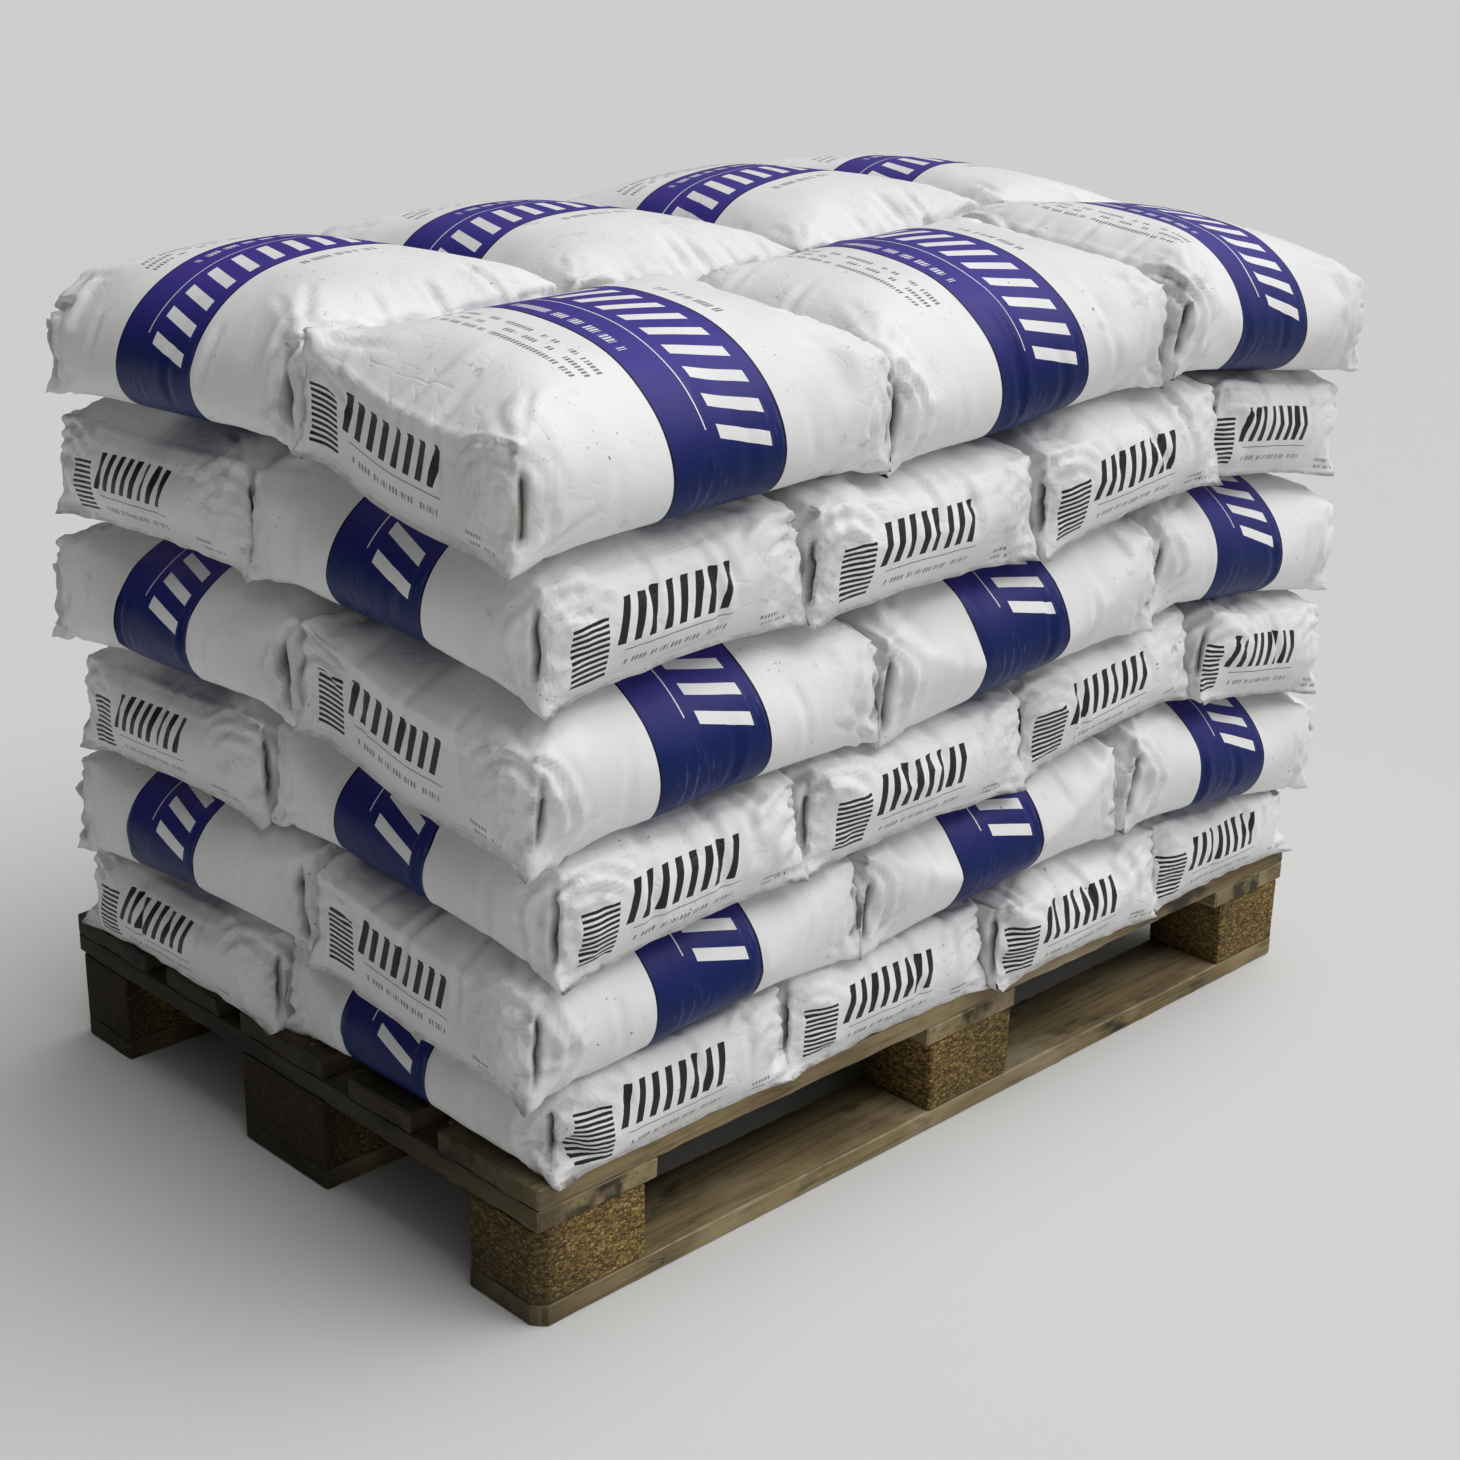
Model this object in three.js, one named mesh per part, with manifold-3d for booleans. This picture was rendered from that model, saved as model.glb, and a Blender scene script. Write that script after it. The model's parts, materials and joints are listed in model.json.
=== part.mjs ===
// A loaded pallet of block-bottom paper sacks, in millimetres, +Z up.
// Six interlocked layers of seven sacks stand on a four-way flat pallet of 1200 x 800 mm.
// X runs along the pallet's length and -Y is the long side called the front.
// The origin is on the floor, under the middle of the pallet.
import * as THREE from "three";
import { mergeVertices } from "three/addons/utils/BufferGeometryUtils.js";
import Module from "manifold-3d";

const wasm = await Module();
wasm.setup();

// Pallet
const PALLET_LENGTH = 1200;
const PALLET_WIDTH = 800;
const BOARD_THICKNESS = 22;
const BLOCK_HEIGHT = 78;
const BLOCK_LENGTH = 130; // along X
const OUTER_BLOCK_WIDTH = 100; // along Y, and the width of the two outer skids
const MIDDLE_BLOCK_WIDTH = 145; // along Y, and the width of the middle skid
const CROSS_BOARD_WIDTH = 145;
const WIDE_DECK_BOARD = 145;
const NARROW_DECK_BOARD = 100;
const CORNER_CHAMFER = 12; // the pallet's four upright corners are cut at 45 degrees
const CHAMFER_REACH = 2 * CORNER_CHAMFER; // how far a corner cutter stands outside the pallet

// Heights of the pallet's stages, from the floor
const SKID_TOP = BOARD_THICKNESS;
const BLOCK_TOP = SKID_TOP + BLOCK_HEIGHT;
const CROSS_TOP = BLOCK_TOP + BOARD_THICKNESS;
const DECK_TOP = CROSS_TOP + BOARD_THICKNESS;

// Sack stack: how the surfaces lie on which one layer rests on the next. The level is over the
// middle, the lean is the rise per millimetre along X, and the falls are at the pallet's ends,
// along its front and along its back.
const LAYER_COUNT = 6;
const SURFACES = [
  { level: DECK_TOP, lean: 0, endFall: 0, frontFall: 0, backFall: 0 },
  { level: 270, lean: -0.006, endFall: 8, frontFall: 24, backFall: 28 },
  { level: 388, lean: 0.004, endFall: 16, frontFall: 14, backFall: 14 },
  { level: 508, lean: 0.015, endFall: 5, frontFall: 30, backFall: 14 },
  { level: 638, lean: 0.02, endFall: 11, frontFall: 20, backFall: 4 },
  { level: 762, lean: 0.02, endFall: 0, frontFall: 32, backFall: 2 },
];
const TOP_EDGE_THICKNESS = 106; // of an unloaded sack at its ends and sides
const TOP_CROWN_THICKNESS = 160; // of an unloaded sack at its middle
const SEAT_GAP = 0.3; // between the deck and the first layer
const LAYER_GAP = 0.45; // kept by each sack to the surface that it shares with the next layer
const JOINT_GAP = 0.8; // kept by each sack to a joint with its neighbour

// Joints along X of each layer's front row: odd layers have four sacks there, laid crosswise,
// and even layers have three, laid lengthwise
const FRONT_JOINTS = [
  [-582, -288, 14, 300, 588],
  [-614, -200, 217, 598],
  [-592, -290, 38, 343, 590],
  [-614, -198, 235, 602],
  [-596, -290, 30, 336, 600],
  [-614, -187, 235, 594],
];
const BACK_JOINTS_OF_THREE = [-594, -192, 214, 602];
const BACK_JOINTS_OF_FOUR = [-606, -300, 22, 328, 604];

// Where along Y each layer's front row begins, where its two rows meet, and where its back row ends
const ROWS = [
  [-404, 8, 366],
  [-414, -86, 366],
  [-412, 6, 360],
  [-414, -86, 362],
  [-412, 8, 354],
  [-414, -102, 336],
];

// How the shared surface between two layers bends
const FALL_START = 160; // from the middle, where the fall to the ends sets in
const CROWN_RISE = 4; // of the lower sack's middle
const SWELL = 30; // height of the swell that runs across the load right of the middle
const SWELL_PLACE = 280;
const SWELL_REACH = 240; // from its crest to its foot
const HALF_LENGTH = 605;
const HALF_WIDTH = 390;

// Unevenness of hand-laid sacks
const SHIFT = 3; // of a layer's plan, in X and in Y
const OVERHANG = 7; // of a single sack past its row
const SWAY_X = 0.0052; // radians of sway for each millimetre along X
const SWAY_Y = 0.0071;

// Section of a sack across its length, on a half width and half height of 1
const EDGE_ROLL = 42; // how far the rounded upper edge of a long side reaches in
const FOOT_ROLL = 24; // the same at its foot, which the filling's weight presses out
const END_ROLL = 7; // the same where the section is pressed square by the block bottom
const ROLL_MIDDLE = { out: 0.72, up: 0.74 }; // the point half way round the rolled edge
const SIDE_SHOULDER = 0.9; // height of the flat part's edge on a rolled section

// Stations along a sack: place from the middle (0) to the end (1), share of the width, shares of
// the height above and below the middle, and how far the rolled side has become the block bottom
const STATIONS = [
  { at: -1, width: 0.945, head: 0.78, foot: 0.93, square: 1 },
  { at: -0.93, width: 0.98, head: 0.94, foot: 0.98, square: 0.55 },
  { at: -0.78, width: 0.99, head: 0.99, foot: 1, square: 0.25 },
  { at: -0.62, width: 1, head: 1, foot: 1, square: 0 },
  { at: -0.41, width: 1, head: 1, foot: 1, square: 0 },
  { at: -0.2, width: 1, head: 1, foot: 1, square: 0 },
  { at: 0, width: 1, head: 1, foot: 1, square: 0 },
  { at: 0.2, width: 1, head: 1, foot: 1, square: 0 },
  { at: 0.41, width: 1, head: 1, foot: 1, square: 0 },
  { at: 0.62, width: 1, head: 1, foot: 1, square: 0 },
  { at: 0.78, width: 0.99, head: 0.99, foot: 1, square: 0.25 },
  { at: 0.93, width: 0.98, head: 0.94, foot: 0.98, square: 0.55 },
  { at: 1, width: 0.945, head: 0.78, foot: 0.93, square: 1 },
];

const paper = new THREE.MeshStandardMaterial({ color: 0xdcdcda, roughness: 0.55, metalness: 0 });
const timber = new THREE.MeshStandardMaterial({ color: 0x8a7552, roughness: 0.85, metalness: 0 });
const chipblock = new THREE.MeshStandardMaterial({ color: 0x8a6f3c, roughness: 0.9, metalness: 0 });

const load = new THREE.Group();

// Plan of a layer

// The sacks of one layer, each with its plan rectangle and the axis that its length follows.
function layerPlan(layer) {
  const even = layer % 2 === 0;
  const [frontY, middleY, backY] = ROWS[layer - 1];
  const backJoints = even ? BACK_JOINTS_OF_FOUR : BACK_JOINTS_OF_THREE;
  const sacks = [];
  for (const row of ["front", "back"]) {
    const front = row === "front";
    const three = even === front;
    const joints = front ? FRONT_JOINTS[layer - 1] : backJoints;
    for (let i = 0; i + 1 < joints.length; i++) {
      sacks.push({
        name: `sack_layer${layer}_${row}${i + 1}`,
        layer,
        row,
        lengthwise: three,
        x0: joints[i],
        x1: joints[i + 1],
        y0: front ? frontY : middleY,
        y1: front ? middleY : backY,
        overhang: OVERHANG * Math.sin(2.1 * i + 1.7 * layer + (three ? 0 : 2)),
      });
    }
  }
  return sacks;
}

const plans = new Map();
for (let layer = 1; layer <= LAYER_COUNT; layer++) plans.set(layer, layerPlan(layer));

// How each layer's plan sways, so that its joints are neither straight nor all in line.
function swayed(layer, x, y) {
  return [
    x + SHIFT * Math.sin(SWAY_Y * y + 1.9 * layer) * Math.cos(SWAY_X * x + layer),
    y + SHIFT * Math.sin(SWAY_X * x + 2.3 * layer),
  ];
}

// Surface between two layers

const halfCosine = (q) => Math.cos((Math.PI / 2) * Math.min(1, Math.abs(q))) ** 2;

// 1 at the middle of a stretch and 0 at its joints; it stays 1 towards an open side.
function crownShare(value, low, high, openLow, openHigh) {
  const q = (value - (low + high) / 2) / ((high - low) / 2);
  return (q < 0 && openLow) || (q > 0 && openHigh) ? 1 : halfCosine(q);
}

// How far the crowns of a layer's sacks lift what lies on them.
function crownRise(layer, x, y) {
  const under = plans.get(layer).find((s) => {
    const inX = x >= s.x0 && x <= s.x1;
    const inY = s.row === "front" ? y <= s.y1 : y > s.y0;
    return inX && inY;
  });
  if (!under) return 0;
  const along = crownShare(x, under.x0, under.x1, false, false);
  const front = under.row === "front";
  return CROWN_RISE * along * crownShare(y, under.y0, under.y1, front, !front);
}

// The height at which layer number below meets the layer above it.
function restingHeight(below, x, y) {
  if (below === 0) return DECK_TOP;
  const surface = SURFACES[below];
  const pastX = Math.max(0, Math.abs(x) - FALL_START) / (HALF_LENGTH - FALL_START);
  const pastY = Math.abs(y) / HALF_WIDTH;
  const rowFall = y < 0 ? surface.frontFall : surface.backFall;
  const fall = surface.endFall * Math.min(1, pastX) ** 2 + rowFall * Math.min(1, pastY) ** 2;
  const swell = SWELL * halfCosine((x - SWELL_PLACE) / SWELL_REACH);
  return surface.level + surface.lean * x - fall + swell + crownRise(below, x, y);
}

// The free top of an unloaded sack, for a place from -1 to 1 along and across it.
function freeThickness(along, across) {
  const crown = (1 - Math.abs(along) ** 3.6) * (1 - Math.abs(across) ** 3);
  return TOP_EDGE_THICKNESS + (TOP_CROWN_THICKNESS - TOP_EDGE_THICKNESS) * crown;
}

// Sacks

// Half of a section from its side point to its middle, for one reach of the rolled edge.
function rolledHalf(halfWidth, reach, square) {
  const roll = THREE.MathUtils.lerp(reach, END_ROLL, square) / halfWidth;
  const shoulder = THREE.MathUtils.lerp(ROLL_MIDDLE.up, 0.9, square);
  const flat = 1 - roll;
  return [
    { across: 1 - roll * (1 - ROLL_MIDDLE.out), up: shoulder },
    { across: flat, up: THREE.MathUtils.lerp(1, SIDE_SHOULDER, square * 0.2) },
    { across: flat * 0.66, up: 1 },
    { across: flat * 0.33, up: 1 },
  ];
}

// Points round a section as { across: -1..1, up: -1..1 }, counter-clockwise seen along +length.
function sectionPoints(halfWidth, square) {
  const head = rolledHalf(halfWidth, EDGE_ROLL, square);
  const foot = rolledHalf(halfWidth, FOOT_ROLL, square);
  const farHead = head.map((p) => ({ across: -p.across, up: p.up })).reverse();
  const farFoot = foot.map((p) => ({ across: -p.across, up: -p.up }));
  const nearFoot = foot.map((p) => ({ across: p.across, up: -p.up })).reverse();
  const top = [{ across: 1, up: 0 }, ...head, { across: 0, up: 1 }, ...farHead];
  return [...top, { across: -1, up: 0 }, ...farFoot, { across: 0, up: -1 }, ...nearFoot];
}

// A sack's closed surface: rings of section points, closed by a flat block bottom at each end.
function sackGeometry(sack) {
  const front = sack.row === "front";
  const gapAt = (joint) => (joint ? JOINT_GAP : 0);
  const x0 = sack.x0 + JOINT_GAP;
  const x1 = sack.x1 - JOINT_GAP;
  const y0 = sack.y0 + gapAt(!front) - (front ? sack.overhang : 0);
  const y1 = sack.y1 - gapAt(front) + (front ? 0 : sack.overhang);
  const [length, width] = sack.lengthwise ? [x1 - x0, y1 - y0] : [y1 - y0, x1 - x0];
  const centre = [(x0 + x1) / 2, (y0 + y1) / 2];
  const topLayer = sack.layer === LAYER_COUNT;
  const positions = [];
  for (const station of STATIONS) {
    for (const point of sectionPoints(width / 2, station.square)) {
      const u = (station.at * length) / 2;
      const v = (point.across * station.width * width) / 2;
      const planX = sack.lengthwise ? centre[0] + u : centre[0] - v;
      const planY = sack.lengthwise ? centre[1] + v : centre[1] + u;
      const [x, y] = swayed(sack.layer, planX, planY);
      const gap = sack.layer === 1 ? SEAT_GAP : LAYER_GAP;
      const bottom = restingHeight(sack.layer - 1, x, y) + gap;
      const top = topLayer
        ? bottom + freeThickness(station.at, point.across)
        : restingHeight(sack.layer, x, y) - LAYER_GAP;
      const middle = (top + bottom) / 2;
      // An unloaded top has its own crown, so its ends are already low.
      const head = topLayer ? Math.max(station.head, 0.9) : station.head;
      const share = point.up > 0 ? head : station.foot;
      positions.push(x, y, middle + ((point.up * (top - bottom)) / 2) * share);
    }
  }
  const ring = positions.length / 3 / STATIONS.length;
  const index = [];
  for (let s = 0; s + 1 < STATIONS.length; s++) {
    for (let j = 0; j < ring; j++) {
      const a = s * ring + j;
      const b = s * ring + ((j + 1) % ring);
      index.push(a, b, b + ring, a, b + ring, a + ring);
    }
  }
  const lastRing = (STATIONS.length - 1) * ring;
  for (let j = 1; j + 1 < ring; j++) {
    index.push(0, j + 1, j);
    index.push(lastRing, lastRing + j, lastRing + j + 1);
  }
  const geometry = new THREE.BufferGeometry();
  geometry.setAttribute("position", new THREE.Float32BufferAttribute(positions, 3));
  geometry.setIndex(index);
  geometry.computeVertexNormals();
  return geometry;
}

function addSacks() {
  for (const sacks of plans.values()) {
    for (const sack of sacks) {
      const mesh = new THREE.Mesh(sackGeometry(sack), paper);
      mesh.name = sack.name;
      load.add(mesh);
    }
  }
}

// Pallet

const box = (lengthX, widthY, heightZ, x, y, z) =>
  new THREE.BoxGeometry(lengthX, widthY, heightZ).translate(x, y, z);

function toSolid(geometry) {
  const bare = geometry.clone();
  bare.deleteAttribute("normal");
  bare.deleteAttribute("uv");
  const merged = mergeVertices(bare);
  return new wasm.Manifold(
    new wasm.Mesh({
      numProp: 3,
      vertProperties: merged.attributes.position.array,
      triVerts: new Uint32Array(merged.index.array),
    }),
  );
}

function toGeometry(solid) {
  const mesh = solid.getMesh();
  const geometry = new THREE.BufferGeometry();
  geometry.setAttribute("position", new THREE.BufferAttribute(mesh.vertProperties, 3));
  geometry.setIndex(new THREE.BufferAttribute(mesh.triVerts, 1));
  geometry.computeVertexNormals();
  return geometry;
}

// The four upright corners of the pallet are cut off along the whole height.
function cornerCutters() {
  const size = CHAMFER_REACH * Math.SQRT2;
  const reach = CHAMFER_REACH - CORNER_CHAMFER / 2;
  const cutters = [];
  for (const sx of [-1, 1]) {
    for (const sy of [-1, 1]) {
      const cutter = new THREE.BoxGeometry(size, size, 2 * DECK_TOP).rotateZ(Math.PI / 4);
      const x = sx * (PALLET_LENGTH / 2 + reach - CORNER_CHAMFER / 2);
      const y = sy * (PALLET_WIDTH / 2 + reach - CORNER_CHAMFER / 2);
      cutters.push(toSolid(cutter.translate(x, y, DECK_TOP / 2)));
    }
  }
  return cutters;
}

function addTimber(name, geometries, material) {
  let solid = toSolid(geometries[0]);
  for (const more of geometries.slice(1)) solid = solid.add(toSolid(more));
  for (const cutter of cornerCutters()) solid = solid.subtract(cutter);
  const mesh = new THREE.Mesh(toGeometry(solid), material);
  mesh.name = name;
  load.add(mesh);
}

// Five deck boards run along X, wide and narrow in turn.
function addDeck() {
  const widths = [
    WIDE_DECK_BOARD,
    NARROW_DECK_BOARD,
    WIDE_DECK_BOARD,
    NARROW_DECK_BOARD,
    WIDE_DECK_BOARD,
  ];
  const gap = (PALLET_WIDTH - widths.reduce((a, b) => a + b)) / (widths.length - 1);
  let front = -PALLET_WIDTH / 2;
  widths.forEach((width, i) => {
    const z = CROSS_TOP + BOARD_THICKNESS / 2;
    const board = box(PALLET_LENGTH, width, BOARD_THICKNESS, 0, front + width / 2, z);
    addTimber(`deck_board_${i + 1}`, [board], timber);
    front += width + gap;
  });
}

const END_BLOCK_X = (PALLET_LENGTH - BLOCK_LENGTH) / 2;
const OUTER_ROW_Y = (PALLET_WIDTH - OUTER_BLOCK_WIDTH) / 2;
const BLOCK_PLACES = [
  { name: "left", x: -END_BLOCK_X },
  { name: "centre", x: 0 },
  { name: "right", x: END_BLOCK_X },
];

// Three boards run across the pallet between the deck and the blocks.
function addCrossBoards() {
  const end = (PALLET_LENGTH - CROSS_BOARD_WIDTH) / 2;
  for (const [name, x] of [["left", -end], ["centre", 0], ["right", end]]) {
    const z = BLOCK_TOP + BOARD_THICKNESS / 2;
    const board = box(CROSS_BOARD_WIDTH, PALLET_WIDTH, BOARD_THICKNESS, x, 0, z);
    addTimber(`cross_board_${name}`, [board], timber);
  }
}

const blockAt = (x, y, width) =>
  box(BLOCK_LENGTH, width, BLOCK_HEIGHT, x, y, SKID_TOP + BLOCK_HEIGHT / 2);

const skidAt = (y, width) =>
  box(PALLET_LENGTH, width, BOARD_THICKNESS, 0, y, BOARD_THICKNESS / 2);

// The outer skids and their blocks are pieces of their own.
// The middle skid is one piece with its three blocks, which stand in the dark under the deck.
function addSkids() {
  for (const [row, y] of [["front", -OUTER_ROW_Y], ["back", OUTER_ROW_Y]]) {
    addTimber(`skid_${row}`, [skidAt(y, OUTER_BLOCK_WIDTH)], timber);
    for (const place of BLOCK_PLACES) {
      const block = blockAt(place.x, y, OUTER_BLOCK_WIDTH);
      addTimber(`block_${row}_${place.name}`, [block], chipblock);
    }
  }
  const middle = BLOCK_PLACES.map((place) => blockAt(place.x, 0, MIDDLE_BLOCK_WIDTH));
  addTimber("skid_middle_with_blocks", [skidAt(0, MIDDLE_BLOCK_WIDTH), ...middle], chipblock);
}

addDeck();
addCrossBoards();
addSkids();
addSacks();

export default load;
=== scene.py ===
"""Looks of a loaded pallet: block-bottom paper sacks in interlocked layers on a four-way pallet."""

import itertools
import json
import math
from concurrent.futures import ThreadPoolExecutor
from functools import partialmethod

import bpy
import numpy as np
from mathutils import Euler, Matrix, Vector

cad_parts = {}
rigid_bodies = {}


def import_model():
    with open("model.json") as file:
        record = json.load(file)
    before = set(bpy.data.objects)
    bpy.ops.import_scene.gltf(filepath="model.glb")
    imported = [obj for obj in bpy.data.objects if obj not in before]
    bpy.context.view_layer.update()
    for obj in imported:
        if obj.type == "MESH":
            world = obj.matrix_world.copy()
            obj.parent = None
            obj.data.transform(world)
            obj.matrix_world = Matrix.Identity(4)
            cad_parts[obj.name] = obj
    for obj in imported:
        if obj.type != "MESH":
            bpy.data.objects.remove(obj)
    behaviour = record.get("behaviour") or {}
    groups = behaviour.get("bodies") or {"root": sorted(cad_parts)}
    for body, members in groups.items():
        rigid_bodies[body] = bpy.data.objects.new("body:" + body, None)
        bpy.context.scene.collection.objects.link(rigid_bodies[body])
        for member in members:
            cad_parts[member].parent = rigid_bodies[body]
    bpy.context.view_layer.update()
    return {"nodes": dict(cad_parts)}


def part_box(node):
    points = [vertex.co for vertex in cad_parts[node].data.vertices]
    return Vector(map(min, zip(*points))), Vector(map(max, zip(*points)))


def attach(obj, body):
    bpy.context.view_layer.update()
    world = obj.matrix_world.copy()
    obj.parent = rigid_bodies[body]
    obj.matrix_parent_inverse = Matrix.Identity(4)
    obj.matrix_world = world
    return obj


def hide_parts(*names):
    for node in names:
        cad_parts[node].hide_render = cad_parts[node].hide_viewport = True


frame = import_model()
MM = 0.001
SEED = 7

# Stack, in millimetres, as in the part's source. Each loaded layer has a surface that the next one
# rests on: its level, its rise per millimetre along X, and how far it falls towards the pallet's
# ends, its front and its back.
LAYER_COUNT = 6
DECK_TOP = 144
SURFACES = {
    1: (270, -0.006, 8, 24, 28),
    2: (388, 0.004, 16, 14, 14),
    3: (508, 0.015, 5, 30, 14),
    4: (638, 0.02, 11, 20, 4),
    5: (762, 0.02, 0, 32, 2),
}
FALL_START = 160  # from the middle, where a surface starts to fall towards the ends
SWELL = {"x": 280, "reach": 240, "rise": 30}  # of every surface, across the pallet
HALF_LENGTH = 605  # of the load
HALF_WIDTH = 390
RIM = {"x": 565, "y": 368, "reach": 50, "fall": 12}  # sacks sag a little where they overhang
TOP_THICKNESS = 156  # of a sack of the top layer, which carries nothing
TOP_ROOM = 10  # how much thicker it may bulge
TOP_RIM = {"x": 430, "y": 252, "reach": 180, "fall": 46}  # the same sacks are lower at the load's rim
TOP_MIDDLE = -39  # middle of the top layer across the pallet
TOP_BULGE = {"x": 480, "y": 230, "reach": 210, "rise": 60}  # the fullest sack
BACK_RISE = {"from": -60, "to": 100, "rise": 12}  # the top layer's back row is thicker
FAR_CORNER = {"x": -600, "y": 345, "reach": 150, "fall": 42}  # a slack sack
OPEN_X = 560  # a sack that reaches past these has no neighbour on that side
OPEN_Y = (-340, 310)
CONTACT_GAP = 0.3

# Sacks
ALONG, ACROSS, UP = 0, 1, 2
LOW_END, HIGH_END, LOW_SIDE, HIGH_SIDE, TOP_SIDE = 0, 1, 2, 3, 5  # sides of a lattice
FINE_CELLS = (84, 64, 24)  # of a sack's finest lattice
BLOCK_HEIGHT = 104  # of the folded block bottom at each end, in millimetres
LOADED_ROUNDING = 0.75  # share of its thickness by which a loaded sack's half girth passes its width
LENGTH_ALLOWANCE = {"top": 6, "loaded": -8}  # how much longer the paper is than its room
TOP_FULLNESS = 1.01
START_TUCK = 8  # how much smaller a sack starts than its paper
START_HEIGHT = 0.9
START_GAP = 2
FRONT_BAND_SHIFT = {1: -26, 2: -9, 3: -18, 4: -16, 5: 5, 6: 3}  # of a band from its sack's middle
BACK_BAND_SHIFT = {1: 0, 2: -30, 3: -6, 4: -10, 5: 4, 6: -2}
ODD_BANDS = {"sack_layer6_front3": -20}
CRUMPLE_REACH = {"end": 60, "side": 90, "tip": 42}  # of loose paper from an edge


# Surfaces that the sacks share

def unevenness(x, y, layer):
    """A few millimetres of waviness in the surface on top of a layer."""
    broad = np.sin(x / 61 + 2.1 * layer) * np.cos(y / 73 + 1.3 * layer)
    fine = np.sin(x / 27 - y / 35 + 4.7 * layer)
    return 3.0 * broad + 1.0 * fine


def fall_past(rim, x, y):
    """How far a surface has fallen at a place past a rim."""
    out = np.maximum(np.abs(x) - rim["x"], np.abs(y) - rim["y"]) / rim["reach"]
    return rim["fall"] * np.clip(out, 0, 1) ** 2


def bell(value):
    """1 at zero, and down to 0 at one on either side."""
    return np.cos(np.pi / 2 * np.clip(value, -1, 1)) ** 2


def near_place(spot, x, y):
    """Share from 0 to 1 by which a place is near the middle of a round spot."""
    return bell(np.hypot(x - spot["x"], y - spot["y"]) / spot["reach"])


def smooth_step(value, low, high):
    """0 up to one limit and 1 from the other, with an even slope between them."""
    share = np.clip((value - low) / (high - low), 0, 1)
    return share * share * (3 - 2 * share)


def top_thickness(x, y):
    """How thick a sack of the top layer lies at a place."""
    back = BACK_RISE["rise"] * smooth_step(y, BACK_RISE["from"], BACK_RISE["to"])
    return TOP_THICKNESS + back + TOP_BULGE["rise"] * near_place(TOP_BULGE, x, y)


def resting_height(below, x, y):
    """The height at which layer number below meets the layer above it."""
    if below == 0:
        return np.full_like(x, DECK_TOP)
    if below == LAYER_COUNT:
        roof = resting_height(below - 1, x, y) + top_thickness(x, y) + TOP_ROOM
        roof -= FAR_CORNER["fall"] * near_place(FAR_CORNER, x, y)
        return roof - fall_past(TOP_RIM, x, y - TOP_MIDDLE)
    level, lean, end_fall, front_fall, back_fall = SURFACES[below]
    past_x = np.clip((np.abs(x) - FALL_START) / (HALF_LENGTH - FALL_START), 0, 1)
    past_y = np.clip(np.abs(y) / HALF_WIDTH, 0, 1)
    fall = end_fall * past_x**2 + np.where(y < 0, front_fall, back_fall) * past_y**2
    swell = SWELL["rise"] * bell((x - SWELL["x"]) / SWELL["reach"])
    level = level + lean * x + swell + unevenness(x, y, below)
    return level - fall - fall_past(RIM, x, y)


# The grid of points that sacks, boards and blocks are made of

class Lattice:
    """The skin of a box of cells: its points, faces and neighbours."""

    def __init__(self, cells):
        self.cells = np.array(cells)
        grid = np.indices(self.cells + 1).reshape(3, -1).T
        on_skin = (np.minimum(grid, self.cells - grid) == 0).any(axis=1)
        self.places = grid[on_skin]
        self.share = self.places / self.cells
        self.to_edge = np.minimum(self.places, self.cells - self.places)  # in cells, along each axis
        self.ids = np.full(self.cells + 1, -1)
        self.ids[tuple(self.places.T)] = np.arange(len(self.places))
        self.quads, self.sides = self._quads()
        self.near, self.steps = self._neighbours()
        self.around = self._faces_around()

    def _quads(self):
        quads, sides = [], []
        self.sheets = []  # of each side: its first face, its points and whether their order faces out
        for axis, end in itertools.product(range(3), (0, -1)):
            sheet = np.take(self.ids, end, axis=axis)
            corners = sheet[:-1, :-1], sheet[1:, :-1], sheet[1:, 1:], sheet[:-1, 1:]
            ring = np.stack([corner.ravel() for corner in corners], axis=1)
            faces_out = (end == -1) != (axis == 1)
            self.sheets.append((sum(map(len, quads)), sheet, faces_out))
            quads.append(ring if faces_out else ring[:, ::-1])
            sides.append(np.full(len(ring), 2 * axis + (end == -1)))
        return np.concatenate(quads), np.concatenate(sides)

    def _neighbours(self):
        """For each point four places for its straight neighbours and four for diagonal ones."""
        count = len(self.places)
        pairs = [self.quads[:, [i, j]] for i, j in itertools.permutations(range(4), 2)]
        pairs = np.unique(np.concatenate(pairs), axis=0)
        step = np.abs(self.places[pairs[:, 1]] - self.places[pairs[:, 0]])
        straight = step.sum(axis=1) == 1
        near = np.tile(np.arange(count)[:, None], (1, 8))
        steps = np.zeros((count, 8, 3), dtype=np.float32)
        for first, chosen in ((0, straight), (4, ~straight)):
            own = pairs[chosen, 0]
            slot = first + np.arange(len(own)) - np.searchsorted(own, own)
            near[own, slot] = pairs[chosen, 1]
            steps[own, slot] = step[chosen]
        return near, steps

    def _faces_around(self):
        """For each point its faces; the number past the last face stands for none."""
        order = np.argsort(self.quads.ravel(), kind="stable")
        own = self.quads.ravel()[order]
        slot = np.arange(len(own)) - np.searchsorted(own, own)
        around = np.full((len(self.places), 4), len(self.quads))
        around[own, slot] = order // 4
        return around


def refined(points, coarse, fine):
    """Points on a coarse lattice spread over one with twice its cells."""
    corners = [tuple(((fine.places + ends) // 2).T) for ends in itertools.product((0, 1), repeat=3)]
    return sum(points[:, coarse.ids[corner]] for corner in corners) / len(corners)


# Layout

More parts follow.
